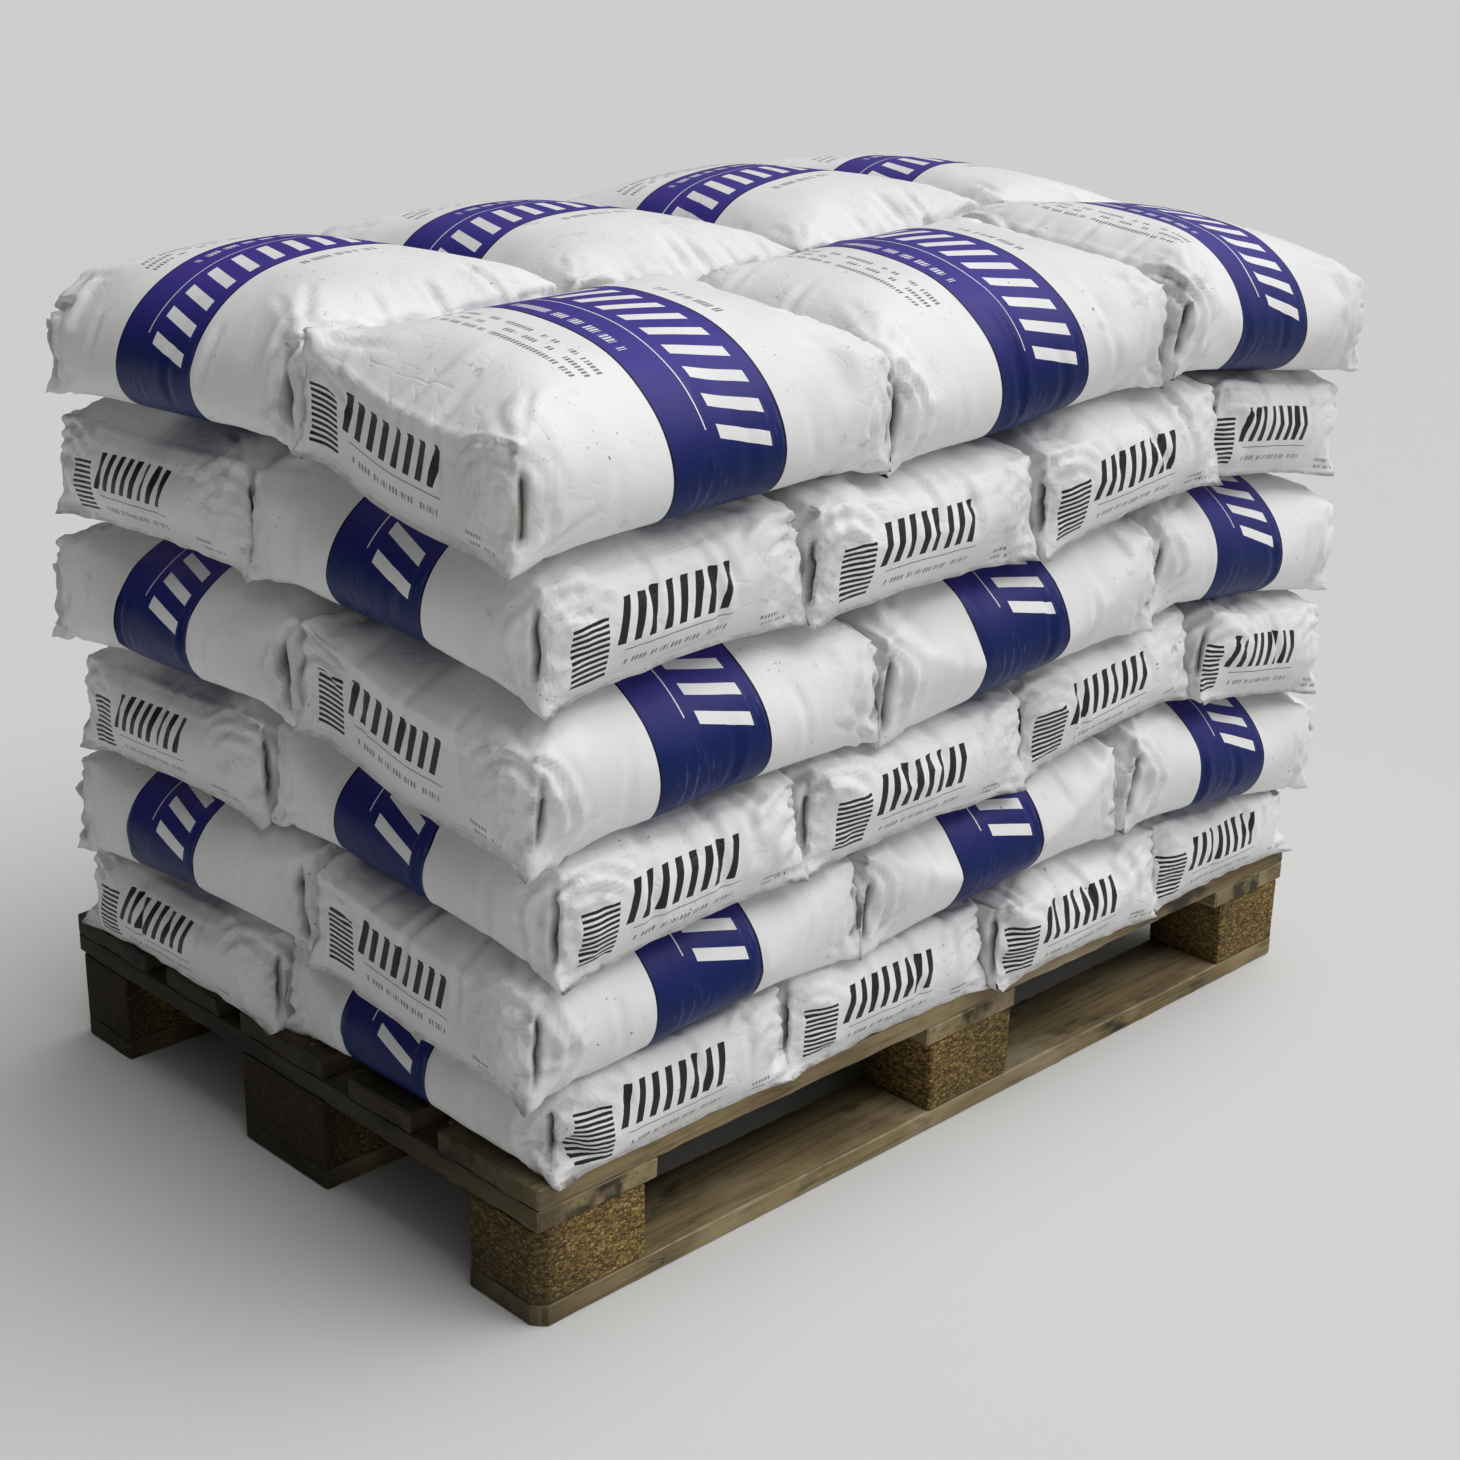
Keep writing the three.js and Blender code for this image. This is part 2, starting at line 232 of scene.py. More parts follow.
class Sack:
    """One sack: its place in the stack and the size of its paper, in millimetres."""

    def __init__(self, node, number):
        self.node = node
        self.number = number
        self.layer = int(node.split("layer")[1][0])
        self.front = "front" in node
        self.lengthwise = (self.layer % 2 == 0) == self.front
        self.top = self.layer == LAYER_COUNT
        self.fullness = TOP_FULLNESS if self.top else 1
        low, high = (np.array(corner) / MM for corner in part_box(node))
        self.low, self.high = low[:2], high[:2]
        self.centre = (self.low + self.high) / 2
        self.thickness = self._thickness(self.centre[None])
        self.paper = self._paper()
        self.room = self._room()
        usual_shift = (FRONT_BAND_SHIFT if self.front else BACK_BAND_SHIFT)[self.layer]
        self.band_shift = ODD_BANDS.get(node, usual_shift)

    def _thickness(self, middle):
        if self.top:
            return top_thickness(*middle.T)[0]
        return (self.roof(middle) - self.floor(middle))[0]

    def _paper(self):
        """Length, width and height of the box that the paper is folded to."""
        size = self.high - self.low
        length, width = size if self.lengthwise else size[::-1]
        rounding = math.pi / 2 - 1 if self.top else LOADED_ROUNDING
        half_girth = width + rounding * self.thickness
        allowance = LENGTH_ALLOWANCE["top" if self.top else "loaded"]
        return np.array([length + allowance, half_girth - BLOCK_HEIGHT, BLOCK_HEIGHT])

    def _room(self):
        """The low and high planes shared with neighbours; without a neighbour they are far off."""
        open_low = np.array([self.low[0] < -OPEN_X, self.low[1] < OPEN_Y[0]])
        open_high = np.array([self.high[0] > OPEN_X, self.high[1] > OPEN_Y[1]])
        low = np.where(open_low, -np.inf, self.low) + CONTACT_GAP
        high = np.where(open_high, np.inf, self.high) - CONTACT_GAP
        return low, high

    def floor(self, points):
        """The heights of what the sack lies on; the roof is what lies on it."""
        return resting_height(self.layer - 1, points[:, 0], points[:, 1])

    def roof(self, points):
        return resting_height(self.layer, points[:, 0], points[:, 1])

    def turned(self, local):
        """Vectors along, across and up as vectors of the row frame."""
        along, across, up = local.T
        x, y = (along, across) if self.lengthwise else (across, -along)
        return np.stack([x, y, up], axis=1)

    def from_edges(self, lattice):
        """How far each point is from the nearest end, side, and top or bottom of the folded box."""
        return ((0.5 - np.abs(lattice.share - 0.5)) * self.paper).T

    def start_shape(self, lattice):
        """A box inside the sack's room, bent to what it lies on, with noise for folds to start from."""
        size = self.paper - START_TUCK
        size[UP] = START_HEIGHT * min(self.paper[UP], self.thickness)
        local = (lattice.share - 0.5) * size
        local += np.random.default_rng(SEED + self.number).normal(0, 1, local.shape)
        world = self.turned(local) + np.append(self.centre, 0)
        world[:, UP] += self.floor(world) + START_GAP + size[UP] / 2
        return world

    def loose_paper(self, lattice, amount):
        """Share by which the paper is longer than smooth at each point: folds, plies and dents."""
        patches = smooth_noise(lattice.share, (16, 12, 6), SEED + 100 + self.number)
        wrinkles = smooth_noise(lattice.share, (48, 36, 14), SEED + 150 + self.number)
        from_end, from_side, from_top = self.from_edges(lattice)
        from_tip = np.sqrt(from_end**2 + from_side**2 + from_top**2)
        at_end = np.clip(1 - from_end / CRUMPLE_REACH["end"], 0, 1)
        at_corner = at_end * np.clip(1 - from_side / CRUMPLE_REACH["side"], 0, 1)
        at_tip = np.clip(1 - from_tip / CRUMPLE_REACH["tip"], 0, 1) * (lattice.share[:, UP] > 0.5)
        loose = (amount["all"] + amount["ends"] * at_end) * np.abs(patches)
        loose += amount["corners"] * at_corner * np.clip(1 + patches + wrinkles, 0, 2.5)
        loose *= 1 - at_ridge(lattice)
        return loose - amount["blunt"] * at_tip


def at_ridge(lattice):
    """Whether each point lies on the creased edge all round a block bottom."""
    at_edge = lattice.to_edge == 0
    return at_edge[:, ALONG] & at_edge[:, 1:].any(axis=1)


def smooth_noise(share, shape, seed):
    """Noise over a unit box, smooth between the points of a grid of that shape."""
    values = np.random.default_rng(seed).normal(0, 1, shape)
    most = np.array(shape) - 1
    base = np.minimum((share * most).astype(int), most - 1)
    part = share * most - base
    part = part * part * (3 - 2 * part)
    total = np.zeros(len(share))
    for ends in itertools.product((0, 1), repeat=3):
        weight = np.prod([part[:, a] if end else 1 - part[:, a] for a, end in enumerate(ends)], axis=0)
        total += weight * values[tuple((base + ends).T)]
    return total


# Relaxation of paper round a firm filling, from a coarse lattice to a fine one

SMOOTH_PAPER = {"all": 0, "ends": 0, "corners": 0, "blunt": 0.25}
USED_PAPER = {"all": 0.005, "ends": 0.009, "corners": 0.05, "blunt": 0.2}
STAGES = [
    {"divide": 4, "steps": 300, "pressure": 4e-5, "fill": None, "bend": 0.02, "yield": 0.25,
     "drift": 0.96, "paper": SMOOTH_PAPER},
    {"divide": 2, "steps": 250, "pressure": 1e-5, "fill": 0.97, "bend": 0.02, "yield": 0.05,
     "drift": 0.97, "paper": USED_PAPER},
    {"divide": 1, "steps": 150, "pressure": 1e-5, "fill": 1.0, "bend": 0.1, "yield": 0.03,
     "drift": 0.96, "paper": USED_PAPER},
]
HEAVINESS = 1.5  # how much more the filling presses at a sack's foot than at its top
FIRMNESS = 60  # how fast the filling's pressure grows as it is squeezed
MOST_PRESSURE = 12
STRETCH_SHARE = 2.0
RIDGE_STIFFNESS = 0.3  # where the block bottoms are creased
TOUCH = 0.5  # how near a point touches what is below or above it
GRIP = 0.5  # share of a touching point's slide that is lost at each step
REFRESH = 6  # steps between new normals and resting heights


def half_normals(points, lattice):
    """Each point's share of the area normals of its faces."""
    quads = lattice.quads
    a = points[:, quads[:, 2]] - points[:, quads[:, 0]]
    b = points[:, quads[:, 3]] - points[:, quads[:, 1]]
    normal = np.zeros((len(points), len(quads) + 1, 3), dtype=np.float32)
    normal[:, :-1, 0] = a[..., 1] * b[..., 2] - a[..., 2] * b[..., 1]
    normal[:, :-1, 1] = a[..., 2] * b[..., 0] - a[..., 0] * b[..., 2]
    normal[:, :-1, 2] = a[..., 0] * b[..., 1] - a[..., 1] * b[..., 0]
    return sum(normal[:, lattice.around[:, k]] for k in range(4)) / 8


def lengths(vectors):
    return np.sqrt(np.einsum("sij,sij->si", vectors, vectors))


def stretch_pull(points, near, rest, used):
    """How far the paper between each point and its eight neighbours pulls it, in all."""
    pull = np.zeros_like(points)
    for k in range(8):
        gap = points[:, near[:, k]] - points
        length = lengths(gap) + 1e-6
        pull += gap * ((length - rest[:, :, k]) / length * used[:, :, k])[..., None]
    return pull


def bend_push(points, near, straight, stiff, scale, soft_from):
    """How far each point is pushed to where the paper bends evenly; a sharp fold pushes less."""
    bent = sum(points[:, near[:, k]] * straight[:, :, k] for k in range(4)) - points
    fold = lengths(bent)[..., None] / scale
    bent *= stiff / (1 + (fold / soft_from) ** 2)
    back = sum(bent[:, near[:, k]] * straight[:, :, k] for k in range(4))
    return bent - back


def relaxed(sacks, points, lattice, stage):
    """The points of these sacks with paper, filling and neighbours in balance."""
    near = lattice.near
    cell = np.array([sack.paper for sack in sacks]) / lattice.cells
    rest = np.sqrt(np.einsum("ijk,sk->sij", lattice.steps**2, cell**2)).astype(np.float32)
    used = (rest > 0).astype(np.float32)
    loose = np.stack([sack.loose_paper(lattice, stage["paper"]) for sack in sacks])
    rest *= 1 + (loose[:, :, None] + loose[:, near]).astype(np.float32) / 2
    pull_share = 0.5 * STRETCH_SHARE / used.sum(axis=2)[..., None]
    straight = used[:, :, :4, None]
    straight = straight / straight.sum(axis=2, keepdims=True)
    scale = float(np.mean(cell))
    stiff = np.where(at_ridge(lattice), RIDGE_STIFFNESS, 1).astype(np.float32)[None, :, None]
    low, high = (
        np.array([sack.room[side] for sack in sacks], dtype=np.float32)[:, None] for side in (0, 1)
    )
    points = points.astype(np.float32)
    velocity = np.zeros_like(points)
    fill = None
    for step in range(stage["steps"]):
        if step % REFRESH == 0:
            push = half_normals(points, lattice)
            held = np.einsum("sij,sij->s", points, push) / 3
            if fill is None and stage["fill"]:
                fill = held * stage["fill"] * np.array([sack.fullness for sack in sacks])
            squeeze = np.zeros(len(sacks)) if fill is None else FIRMNESS * (fill / held - 1)
            pressure = stage["pressure"] * np.clip(1 + squeeze, 0, MOST_PRESSURE)
            floor = np.stack([sack.floor(own) for sack, own in zip(sacks, points)])
            roof = np.stack([sack.roof(own) for sack, own in zip(sacks, points)])
            depth = 0.5 - np.clip((points[..., 2] - floor) / (roof - floor), 0, 1)
            push *= (pressure[:, None] * (1 + HEAVINESS * depth))[..., None].astype(np.float32)
        before = points
        points = points + stage["drift"] * velocity + push
        points += stretch_pull(points, near, rest, used) * pull_share
        if step % 2 == 0:
            points += stage["bend"] * bend_push(points, near, straight, stiff, scale, stage["yield"])
        points[..., :2] = np.clip(points[..., :2], low, high)
        touching = (points[..., 2] < floor + TOUCH) | (points[..., 2] > roof - TOUCH)
        points[..., 2] = np.clip(points[..., 2], floor + CONTACT_GAP, roof - CONTACT_GAP)
        velocity = points - before
        velocity[..., :2] *= np.where(touching, 1 - GRIP, 1)[..., None]
    return points


BATCH = 2  # sacks in one call of the relaxation
THREADS = 4


def shape_all(sacks, stages):
    """Every sack's points on the last stage's lattice, in millimetres, and that lattice."""
    lattices = [Lattice([cells // stage["divide"] for cells in FINE_CELLS]) for stage in stages]

    def shaped(group):
        points = np.stack([sack.start_shape(lattices[0]) for sack in group])
        for i, (stage, lattice) in enumerate(zip(stages, lattices)):
            if i > 0:
                points = refined(points, lattices[i - 1], lattice)
            points = relaxed(group, points, lattice, stage)
        return points

    groups = [sacks[i : i + BATCH] for i in range(0, len(sacks), BATCH)]
    with ThreadPoolExecutor(THREADS) as pool:
        return np.concatenate(list(pool.map(shaped, groups))), lattices[-1]


# Paper details that are finer than the relaxation

LIP = {"out": 5, "down": 2, "wave": 0.16}  # the pasted edge along the bottom of each end
EAR = {"out": 8, "down": 3, "reach": 20}  # the folded tip at each lower corner
FLAP_FROM = 20 / 24  # of the end's height; the pasted flap lies above it
FLAP_STEP = 1.7
FOLD = {"row": 1, "in": 6.5, "out": 1.5, "low": 0.12, "high": 0.86}  # the open fold beside each end
GAPING_FOLD = {"row": 3, "in": 11, "out": 3.5, "low": 0.06, "high": 0.9}  # crosswise in the back row

# Creases, in millimetres and degrees: each value is drawn between two limits, which count from the
# crease's own middle, angle or half length where it has one
CREASE_VALUES = ("u", "v", "turn", "half", "bend", "width", "depth")
END_CREASES = {
    "middles": (-52, 12, 66), "u": (-22, 22), "v": (78, 108), "turn": (78, 104), "half": (50, 84),
    "bend": (-12, 12), "width": (4.5, 6), "depth": (1.6, 4.2),
}
SIDE_CREASES = {
    "middles": (-95, 25, 110), "u": (-30, 30), "v": (40, 70), "turn": (78, 102), "half": (30, 52),
    "bend": (-8, 8), "width": (4.5, 6), "depth": (0.8, 2.9),
}
UPRIGHT_CREASES = {
    "angles": (152, 132, 110), "length": (22, 44), "clear": 6, "u": (-3, 3), "v": (0, 8),
    "turn": (-6, 6), "half": (0, 0), "bend": (-7, 7), "width": (2.8, 4.4), "depth": (1.0, 3.0),
}
TOP_CREASES = {
    "angles": (24, 46, 66), "length": (25, 52), "clear": 8, "u": (-4, 4), "v": (-4, 4),
    "turn": (-8, 8), "half": (0, 0), "bend": (-8, 8), "width": (3, 5), "depth": (0.8, 2.8),
}
RINGS = {
    "from_edge": 30, "up": 44, "period": 17, "depth": 2.7, "near": (18, 30), "far": (66, 86),
    "diagonal": (-25, 15),
}


def outward(points, lattice):
    """Unit vectors that point out of a sack at each of its points."""
    normal = half_normals(points[None].astype(np.float32), lattice)[0]
    return normal / (np.linalg.norm(normal, axis=1, keepdims=True) + 1e-9)


def crease(u, v, line):
    """Depth of a groove with raised lips along a bent line on a flat chart."""
    turn = math.radians(line["turn"])
    du, dv = u - line["u"], v - line["v"]
    on_line = (du * math.cos(turn) + dv * math.sin(turn)) / line["half"]
    off_line = dv * math.cos(turn) - du * math.sin(turn) - line["bend"] * on_line**2
    off_line = off_line / line["width"]
    groove = np.exp(-(off_line**2))
    lips = 0.45 * np.exp(-((np.abs(off_line) - 2) ** 2))
    return line["depth"] * (lips - groove) * (1 - smooth_step(np.abs(on_line), 0.45, 1))


def drawn(rng, limits, **own):
    """The values of a crease, drawn one after the other between limits round its own values."""
    return {name: own.get(name, 0) + rng.uniform(*limits[name]) for name in CREASE_VALUES}


def paper_relief(sack, lattice):
    """Creases over the ends and sides, folds round the corners and wrinkles from the tips."""
    rng = np.random.default_rng(SEED + 500 + sack.number)
    height = sack.paper[UP]
    along, across, _ = ((lattice.share - 0.5) * sack.paper).T
    from_end, from_side, _ = sack.from_edges(lattice)
    up = lattice.share[:, UP] * height
    on_end, on_top = from_end == 0, lattice.share[:, UP] == 1
    on_side = (from_side == 0) & ~on_end
    over_top = np.where(on_top, height + from_end, up)
    round_corner = np.where(on_side, -from_end, from_side)
    charts = [(on_side | on_end, round_corner, up), (on_top, from_side, from_end)]
    relief = np.zeros(len(up))
    for end in (-1, 1):
        this_end = along * end > 0
        for middle in END_CREASES["middles"]:
            line = drawn(rng, END_CREASES, u=middle)
            relief += this_end * (on_end | on_top) * crease(across, over_top, line)
        for side in (-1, 1):
            relief += this_end * (across * side > 0) * corner_folds(rng, charts)
    for side in (-1, 1):
        for middle in SIDE_CREASES["middles"]:
            line = drawn(rng, SIDE_CREASES, u=middle)
            relief += (across * side > 0) * on_side * crease(along, up, line)
    rough = smooth_noise(lattice.share, (30, 24, 10), SEED + 250 + sack.number)
    return relief * np.clip(1 + 0.3 * rough, 0.3, 1.7)


def ring_folds(rng, u, v):
    """Folds in rings round a spot beside an upright corner."""
    du, dv = u - RINGS["from_edge"], v - RINGS["up"]
    radius = np.hypot(du, dv)
    phase = rng.uniform(0, 6)
    wave = np.cos(2 * math.pi * radius / RINGS["period"] + phase + 0.8 * np.sin(dv / 9 + phase))
    window = smooth_step(radius, *RINGS["near"]) * (1 - smooth_step(radius, *RINGS["far"]))
    window *= smooth_step(dv - du, *RINGS["diagonal"])
    return RINGS["depth"] * rng.uniform(0.5, 1.2) * wave * window


def corner_folds(rng, charts):
    """Relief round one upright corner of an end, and on the top beside it, each on its own chart."""
    upright, round_corner, up = charts[0]
    relief = upright * ring_folds(rng, round_corner, up)
    for (where, u, v), limits in zip(charts, (UPRIGHT_CREASES, TOP_CREASES)):
        for angle in limits["angles"]:
            half = rng.uniform(*limits["length"])
            reach, lean = half + limits["clear"], math.radians(angle)
            middle = {"u": reach * math.cos(lean), "v": reach * math.sin(lean)}
            line = drawn(rng, limits, **middle, turn=angle, half=half)
            relief += where * crease(u, v, line)
    return relief


def within_room(sack, points):
    """The points moved back to the planes and surfaces that the sack shares with its neighbours."""
    points[:, :2] = np.clip(points[:, :2], *sack.room)
    points[:, 2] = np.maximum(points[:, 2], sack.floor(points) + CONTACT_GAP)
    if not sack.top:
        points[:, 2] = np.minimum(points[:, 2], sack.roof(points) - CONTACT_GAP)
    return points


FLAT_END = {
    "lift": {2: 16, 4: 21, 6: 27}, "slack": (-260, -110), "height": 88, "tip": 12, "foot": 4,
    "out": 2, "inset": 18, "width": 0.955, "reach": 15, "crumpled": (0.02, 0.36),
}


def with_flat_end(sack, points, lattice):
    """The points with the left end of a lengthwise first sack pulled flat, its inner corner lifted."""
    if not (sack.lengthwise and sack.node.endswith("front1")):
        return points
    along = lattice.places[:, ALONG]
    across, up = lattice.share[:, ACROSS], lattice.share[:, UP]
    end_point = lattice.ids[0, lattice.places[:, ACROSS], lattice.places[:, UP]]
    y = sack.high[1] - FLAT_END["inset"] - FLAT_END["width"] * (1 - across) * sack.paper[ACROSS]
    x = np.full_like(y, sack.low[0] - FLAT_END["out"])
    z = resting_height(sack.layer - 1, x, y) + FLAT_END["foot"] + FLAT_END["height"] * up
    z += FLAT_END["lift"][sack.layer] * smooth_step(y, *FLAT_END["slack"])
    z += FLAT_END["tip"] * smooth_step(across, 0.9, 1) * smooth_step(up, 0.7, 1)
    move = np.stack([x, y, z], axis=1) - points[end_point]
    weight = smooth_step(across, *FLAT_END["crumpled"]) * (1 - smooth_step(along, 0, FLAT_END["reach"]))
    return points + weight[:, None] * move


def edge_moves(sack, lattice, rough):
    """How far the folded tips and the pasted lip of each end stand out and hang down."""
    step = sack.paper / lattice.cells
    away = lattice.to_edge * step
    from_foot = lattice.places[:, UP] * step[UP]
    from_tip = np.hypot(np.hypot(away[:, ALONG], away[:, ACROSS]), from_foot)
    ear = np.exp(-((from_tip / EAR["reach"]) ** 2))
    at_lip = (lattice.to_edge[:, ALONG] == 0) & (lattice.places[:, UP] == 0)
    lip = np.where(at_lip, 1 + LIP["wave"] * rough, 0)
    ways = np.sign(lattice.share - 0.5)
    ear_way = ways * (EAR["out"], EAR["out"], 0) - (0, 0, EAR["down"])
    lip_way = ways * (LIP["out"], 0, 0) - (0, 0, LIP["down"])
    return sack.turned(ear[:, None] * ear_way + lip[:, None] * lip_way)


def open_folds(sack, lattice, rough):
    """The depth of the fold beside each end, and how far its groove and edges move in and out."""
    from_end, from_side, _ = lattice.to_edge.T
    fold = FOLD if sack.front or sack.lengthwise else GAPING_FOLD
    height = lattice.share[:, UP] + 0.05 * rough
    gaping = smooth_step(height, fold["low"], fold["low"] + 0.2) * (from_side == 0)
    gaping *= 1 - smooth_step(height, fold["high"] - 0.25, fold["high"])
    groove = gaping * (from_end == fold["row"])
    edge = gaping * (np.abs(from_end - fold["row"]) == 1)
    return groove, fold["out"] * edge - fold["in"] * groove


def with_details(sack, points, lattice):
    """The points with all that is finer than the relaxation, and the depth of the open folds."""
    points = with_flat_end(sack, points, lattice)
    from_end, from_side, _ = lattice.to_edge.T
    rough = smooth_noise(lattice.share, (2, 18, 12), SEED + 200 + sack.number)
    flap = (from_end == 0) & (from_side > 2) & (lattice.share[:, UP] >= FLAP_FROM)
    depth, fold_move = open_folds(sack, lattice, rough)
    outwards = paper_relief(sack, lattice) + FLAP_STEP * flap + fold_move
    points = points + outwards[:, None] * outward(points, lattice) + edge_moves(sack, lattice, rough)
    return within_room(sack, points), depth


# Sack meshes

SHOWN_DEPTH = 62  # how far into the load a surface can still be seen, in millimetres
COARSE = 4  # cells along the side of a face where nothing can be seen
SHOWN_ABOVE = 40  # from this height over its foot a sack of the top layer shows
LOAD_LOW = np.array([-600, -405])
LOAD_HIGH = np.array([600, 355])


def shown(sack, centres):
    """Which places on a sack may be seen from outside the load."""
    depth = np.minimum(centres[:, :2] - LOAD_LOW, LOAD_HIGH - centres[:, :2]).min(axis=1)
    seen = depth < SHOWN_DEPTH
    if sack.top:
        seen |= centres[:, 2] > sack.floor(centres) + SHOWN_ABOVE
    return seen


def thinned_faces(sack, points, lattice):
    """Faces of a sack, fine where they show, with the side of the lattice that each lies on."""
    centres = points[lattice.quads].mean(axis=1)
    fine = shown(sack, centres)
    blocks = []
    for start, sheet, faces_out in lattice.sheets:
        rows, columns = np.array(sheet.shape) - 1
        part = fine[start : start + rows * columns]
        part = part.reshape(rows // COARSE, COARSE, columns // COARSE, COARSE)
        keep = part.any(axis=(1, 3))
        part |= keep[:, None, :, None]
        fine[start : start + rows * columns] = part.ravel()
        blocks.append(np.argwhere(~keep) * COARSE)
    used = np.zeros(len(points), dtype=bool)
    used[lattice.quads[fine]] = True
    faces = lattice.quads[fine].tolist()
    sides = lattice.sides[fine].tolist()
    for number, (start, sheet, faces_out) in enumerate(lattice.sheets):
        for i, j in blocks[number]:
            patch = sheet[i : i + COARSE + 1, j : j + COARSE + 1]
            ring = [*patch[:-1, 0], *patch[-1, :-1], *patch[:0:-1, -1], *patch[0, :0:-1]]
            ring = [p for k, p in enumerate(ring) if k % COARSE == 0 or used[p]]
            faces.append([int(p) for p in (ring if faces_out else ring[::-1])])
            sides.append(number)
    return faces, sides


def print_coordinates(sack, points, lattice, corners, sides, left_half):
    """Two paper coordinates in metres for each corner of each face.

    On the tube they run along the sack from the middle of its band, and round its girth from the
    middle of the top face. On a block bottom they run to the right and up, seen from outside, and
    are measured on its real shape, as that paper is flat and stiff.
    """
    size = sack.paper * MM
    along, across, up = ((lattice.share[corners] - 0.5) * size).T
    half_width, height = size[ACROSS] / 2, size[UP]
    under = 2 * half_width + height - np.abs(across)
    girth = np.select(
        [sides == TOP_SIDE, sides == LOW_SIDE, sides == HIGH_SIDE, left_half],
        [-across, half_width + height / 2 - up, up - half_width - height / 2, under],
        -under,
    )
    at_end = sides <= HIGH_END
    way = 1 if sack.lengthwise else 0
    level = (points[corners, way] - sack.centre[way]) * MM
    end_place = np.where(sides == LOW_END, 0, lattice.cells[ALONG])
    foot = points[lattice.ids[end_place, lattice.places[corners, ACROSS], 0], 2]
    over_foot = (points[corners, 2] - foot) * MM - height / 2
    to_right = np.where(sides == HIGH_END, level, -level)
    first = np.where(at_end, to_right, along - sack.band_shift * MM)
    return np.stack([first, np.where(at_end, over_foot, girth)], axis=-1)


def new_mesh(name, points, faces, materials):
    """A mesh from points in millimetres."""
    mesh = bpy.data.meshes.new(name)
    mesh.from_pydata((np.array(points) * MM).tolist(), [], faces)
    for material in materials:
        mesh.materials.append(material)
    return mesh


def add_numbers(mesh, **attributes):
    """Numbers at the mesh's points, which its materials read."""
    for name, values in attributes.items():
        layer = mesh.attributes.new(name, "FLOAT", "POINT")
        layer.data.foreach_set("value", values.astype(np.float32))


def placed(name, data):
    """A new object in the scene."""
    thing = bpy.data.objects.new(name, data)
    bpy.context.collection.objects.link(thing)
    return thing


def add_sack(sack, points, lattice, materials):
    """One sack's piece, with its details, its paper coordinates and its two materials."""
    points, fold = with_details(sack, points, lattice)
    faces, sides = thinned_faces(sack, points, lattice)
    corners = np.array(list(itertools.chain.from_iterable(faces)))
    counts = np.array([len(face) for face in faces])
    starts = np.cumsum(counts) - counts
    across = lattice.places[corners, ACROSS] * 2 - lattice.cells[ACROSS]
    left_half = np.repeat(np.add.reduceat(across, starts) < 0, counts)
    corner_sides = np.repeat(np.array(sides), counts)
    uv = print_coordinates(sack, points, lattice, corners, corner_sides, left_half)
    used, renumbered = np.unique(corners, return_inverse=True)
    rings = [ring.tolist() for ring in np.split(renumbered, starts[1:])]
    mesh = new_mesh(sack.node + "_paper", points[used], rings, materials)
    mesh.shade_smooth()
    mesh.uv_layers.new(name="paper").data.foreach_set("uv", uv.astype(np.float32).ravel())
    # fold: the open folds' slits, which the materials paint with shade
    add_numbers(mesh, fold=fold[used], number=np.full(len(used), sack.number))
    mesh.polygons.foreach_set("material_index", (np.array(sides) <= HIGH_END).astype(np.int32))
    piece = placed(mesh.name, mesh)
    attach(piece, "root")
    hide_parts(sack.node)


# Node trees

def new_node(tree, kind, inputs, output=0, **settings):
    """An output of a new node whose inputs are numbers, colours, values or sockets."""
    node = tree.nodes.new("ShaderNode" + kind)
    for name, value in settings.items():
        setattr(node, name, value)
    for name, value in inputs.items():
        connect(tree, value, node.inputs[name])
    return node.outputs[output]


def connect(tree, value, socket):
    if isinstance(value, Value):
        tree.links.new(value.socket, socket)
    elif isinstance(value, bpy.types.NodeSocket):
        tree.links.new(value, socket)
    elif isinstance(value, tuple):
        socket.default_value = (*value, 1)
    else:
        socket.default_value = value


class Value:
    """A number in a node tree, written with the usual operators."""

    def __init__(self, tree, socket):
        self.tree = tree
        self.socket = socket

    def _math(self, operation, *others):
        inputs = dict(enumerate((self, *others)))
        return Value(self.tree, new_node(self.tree, "Math", inputs, operation=operation))

    __add__ = partialmethod(_math, "ADD")
    __sub__ = partialmethod(_math, "SUBTRACT")
    __mul__ = partialmethod(_math, "MULTIPLY")
    __abs__ = partialmethod(_math, "ABSOLUTE")
    above = partialmethod(_math, "GREATER_THAN")
    below = partialmethod(_math, "LESS_THAN")
    larger = partialmethod(_math, "MAXIMUM")
    repeat = partialmethod(_math, "FLOORED_MODULO")

    def within(self, low, high):
        return self.above(low) * self.below(high)

    def row(self, period):
        """The number of the period that the value lies in."""
        return (self * (1 / period))._math("FLOOR")

    def ramp(self, low, high, to_low=0.0, to_high=1.0):
        inputs = {"Value": self, "From Min": low, "From Max": high, "To Min": to_low, "To Max": to_high}
        return Value(self.tree, new_node(self.tree, "MapRange", inputs, "Result"))


def split(tree, vector):
    """The parts of a vector as values."""
    node = new_node(tree, "SeparateXYZ", {0: vector}).node
    return [Value(tree, output) for output in node.outputs]


MIX_SOCKETS = ("Factor_Float", "A_Color", "B_Color", "Result_Color")


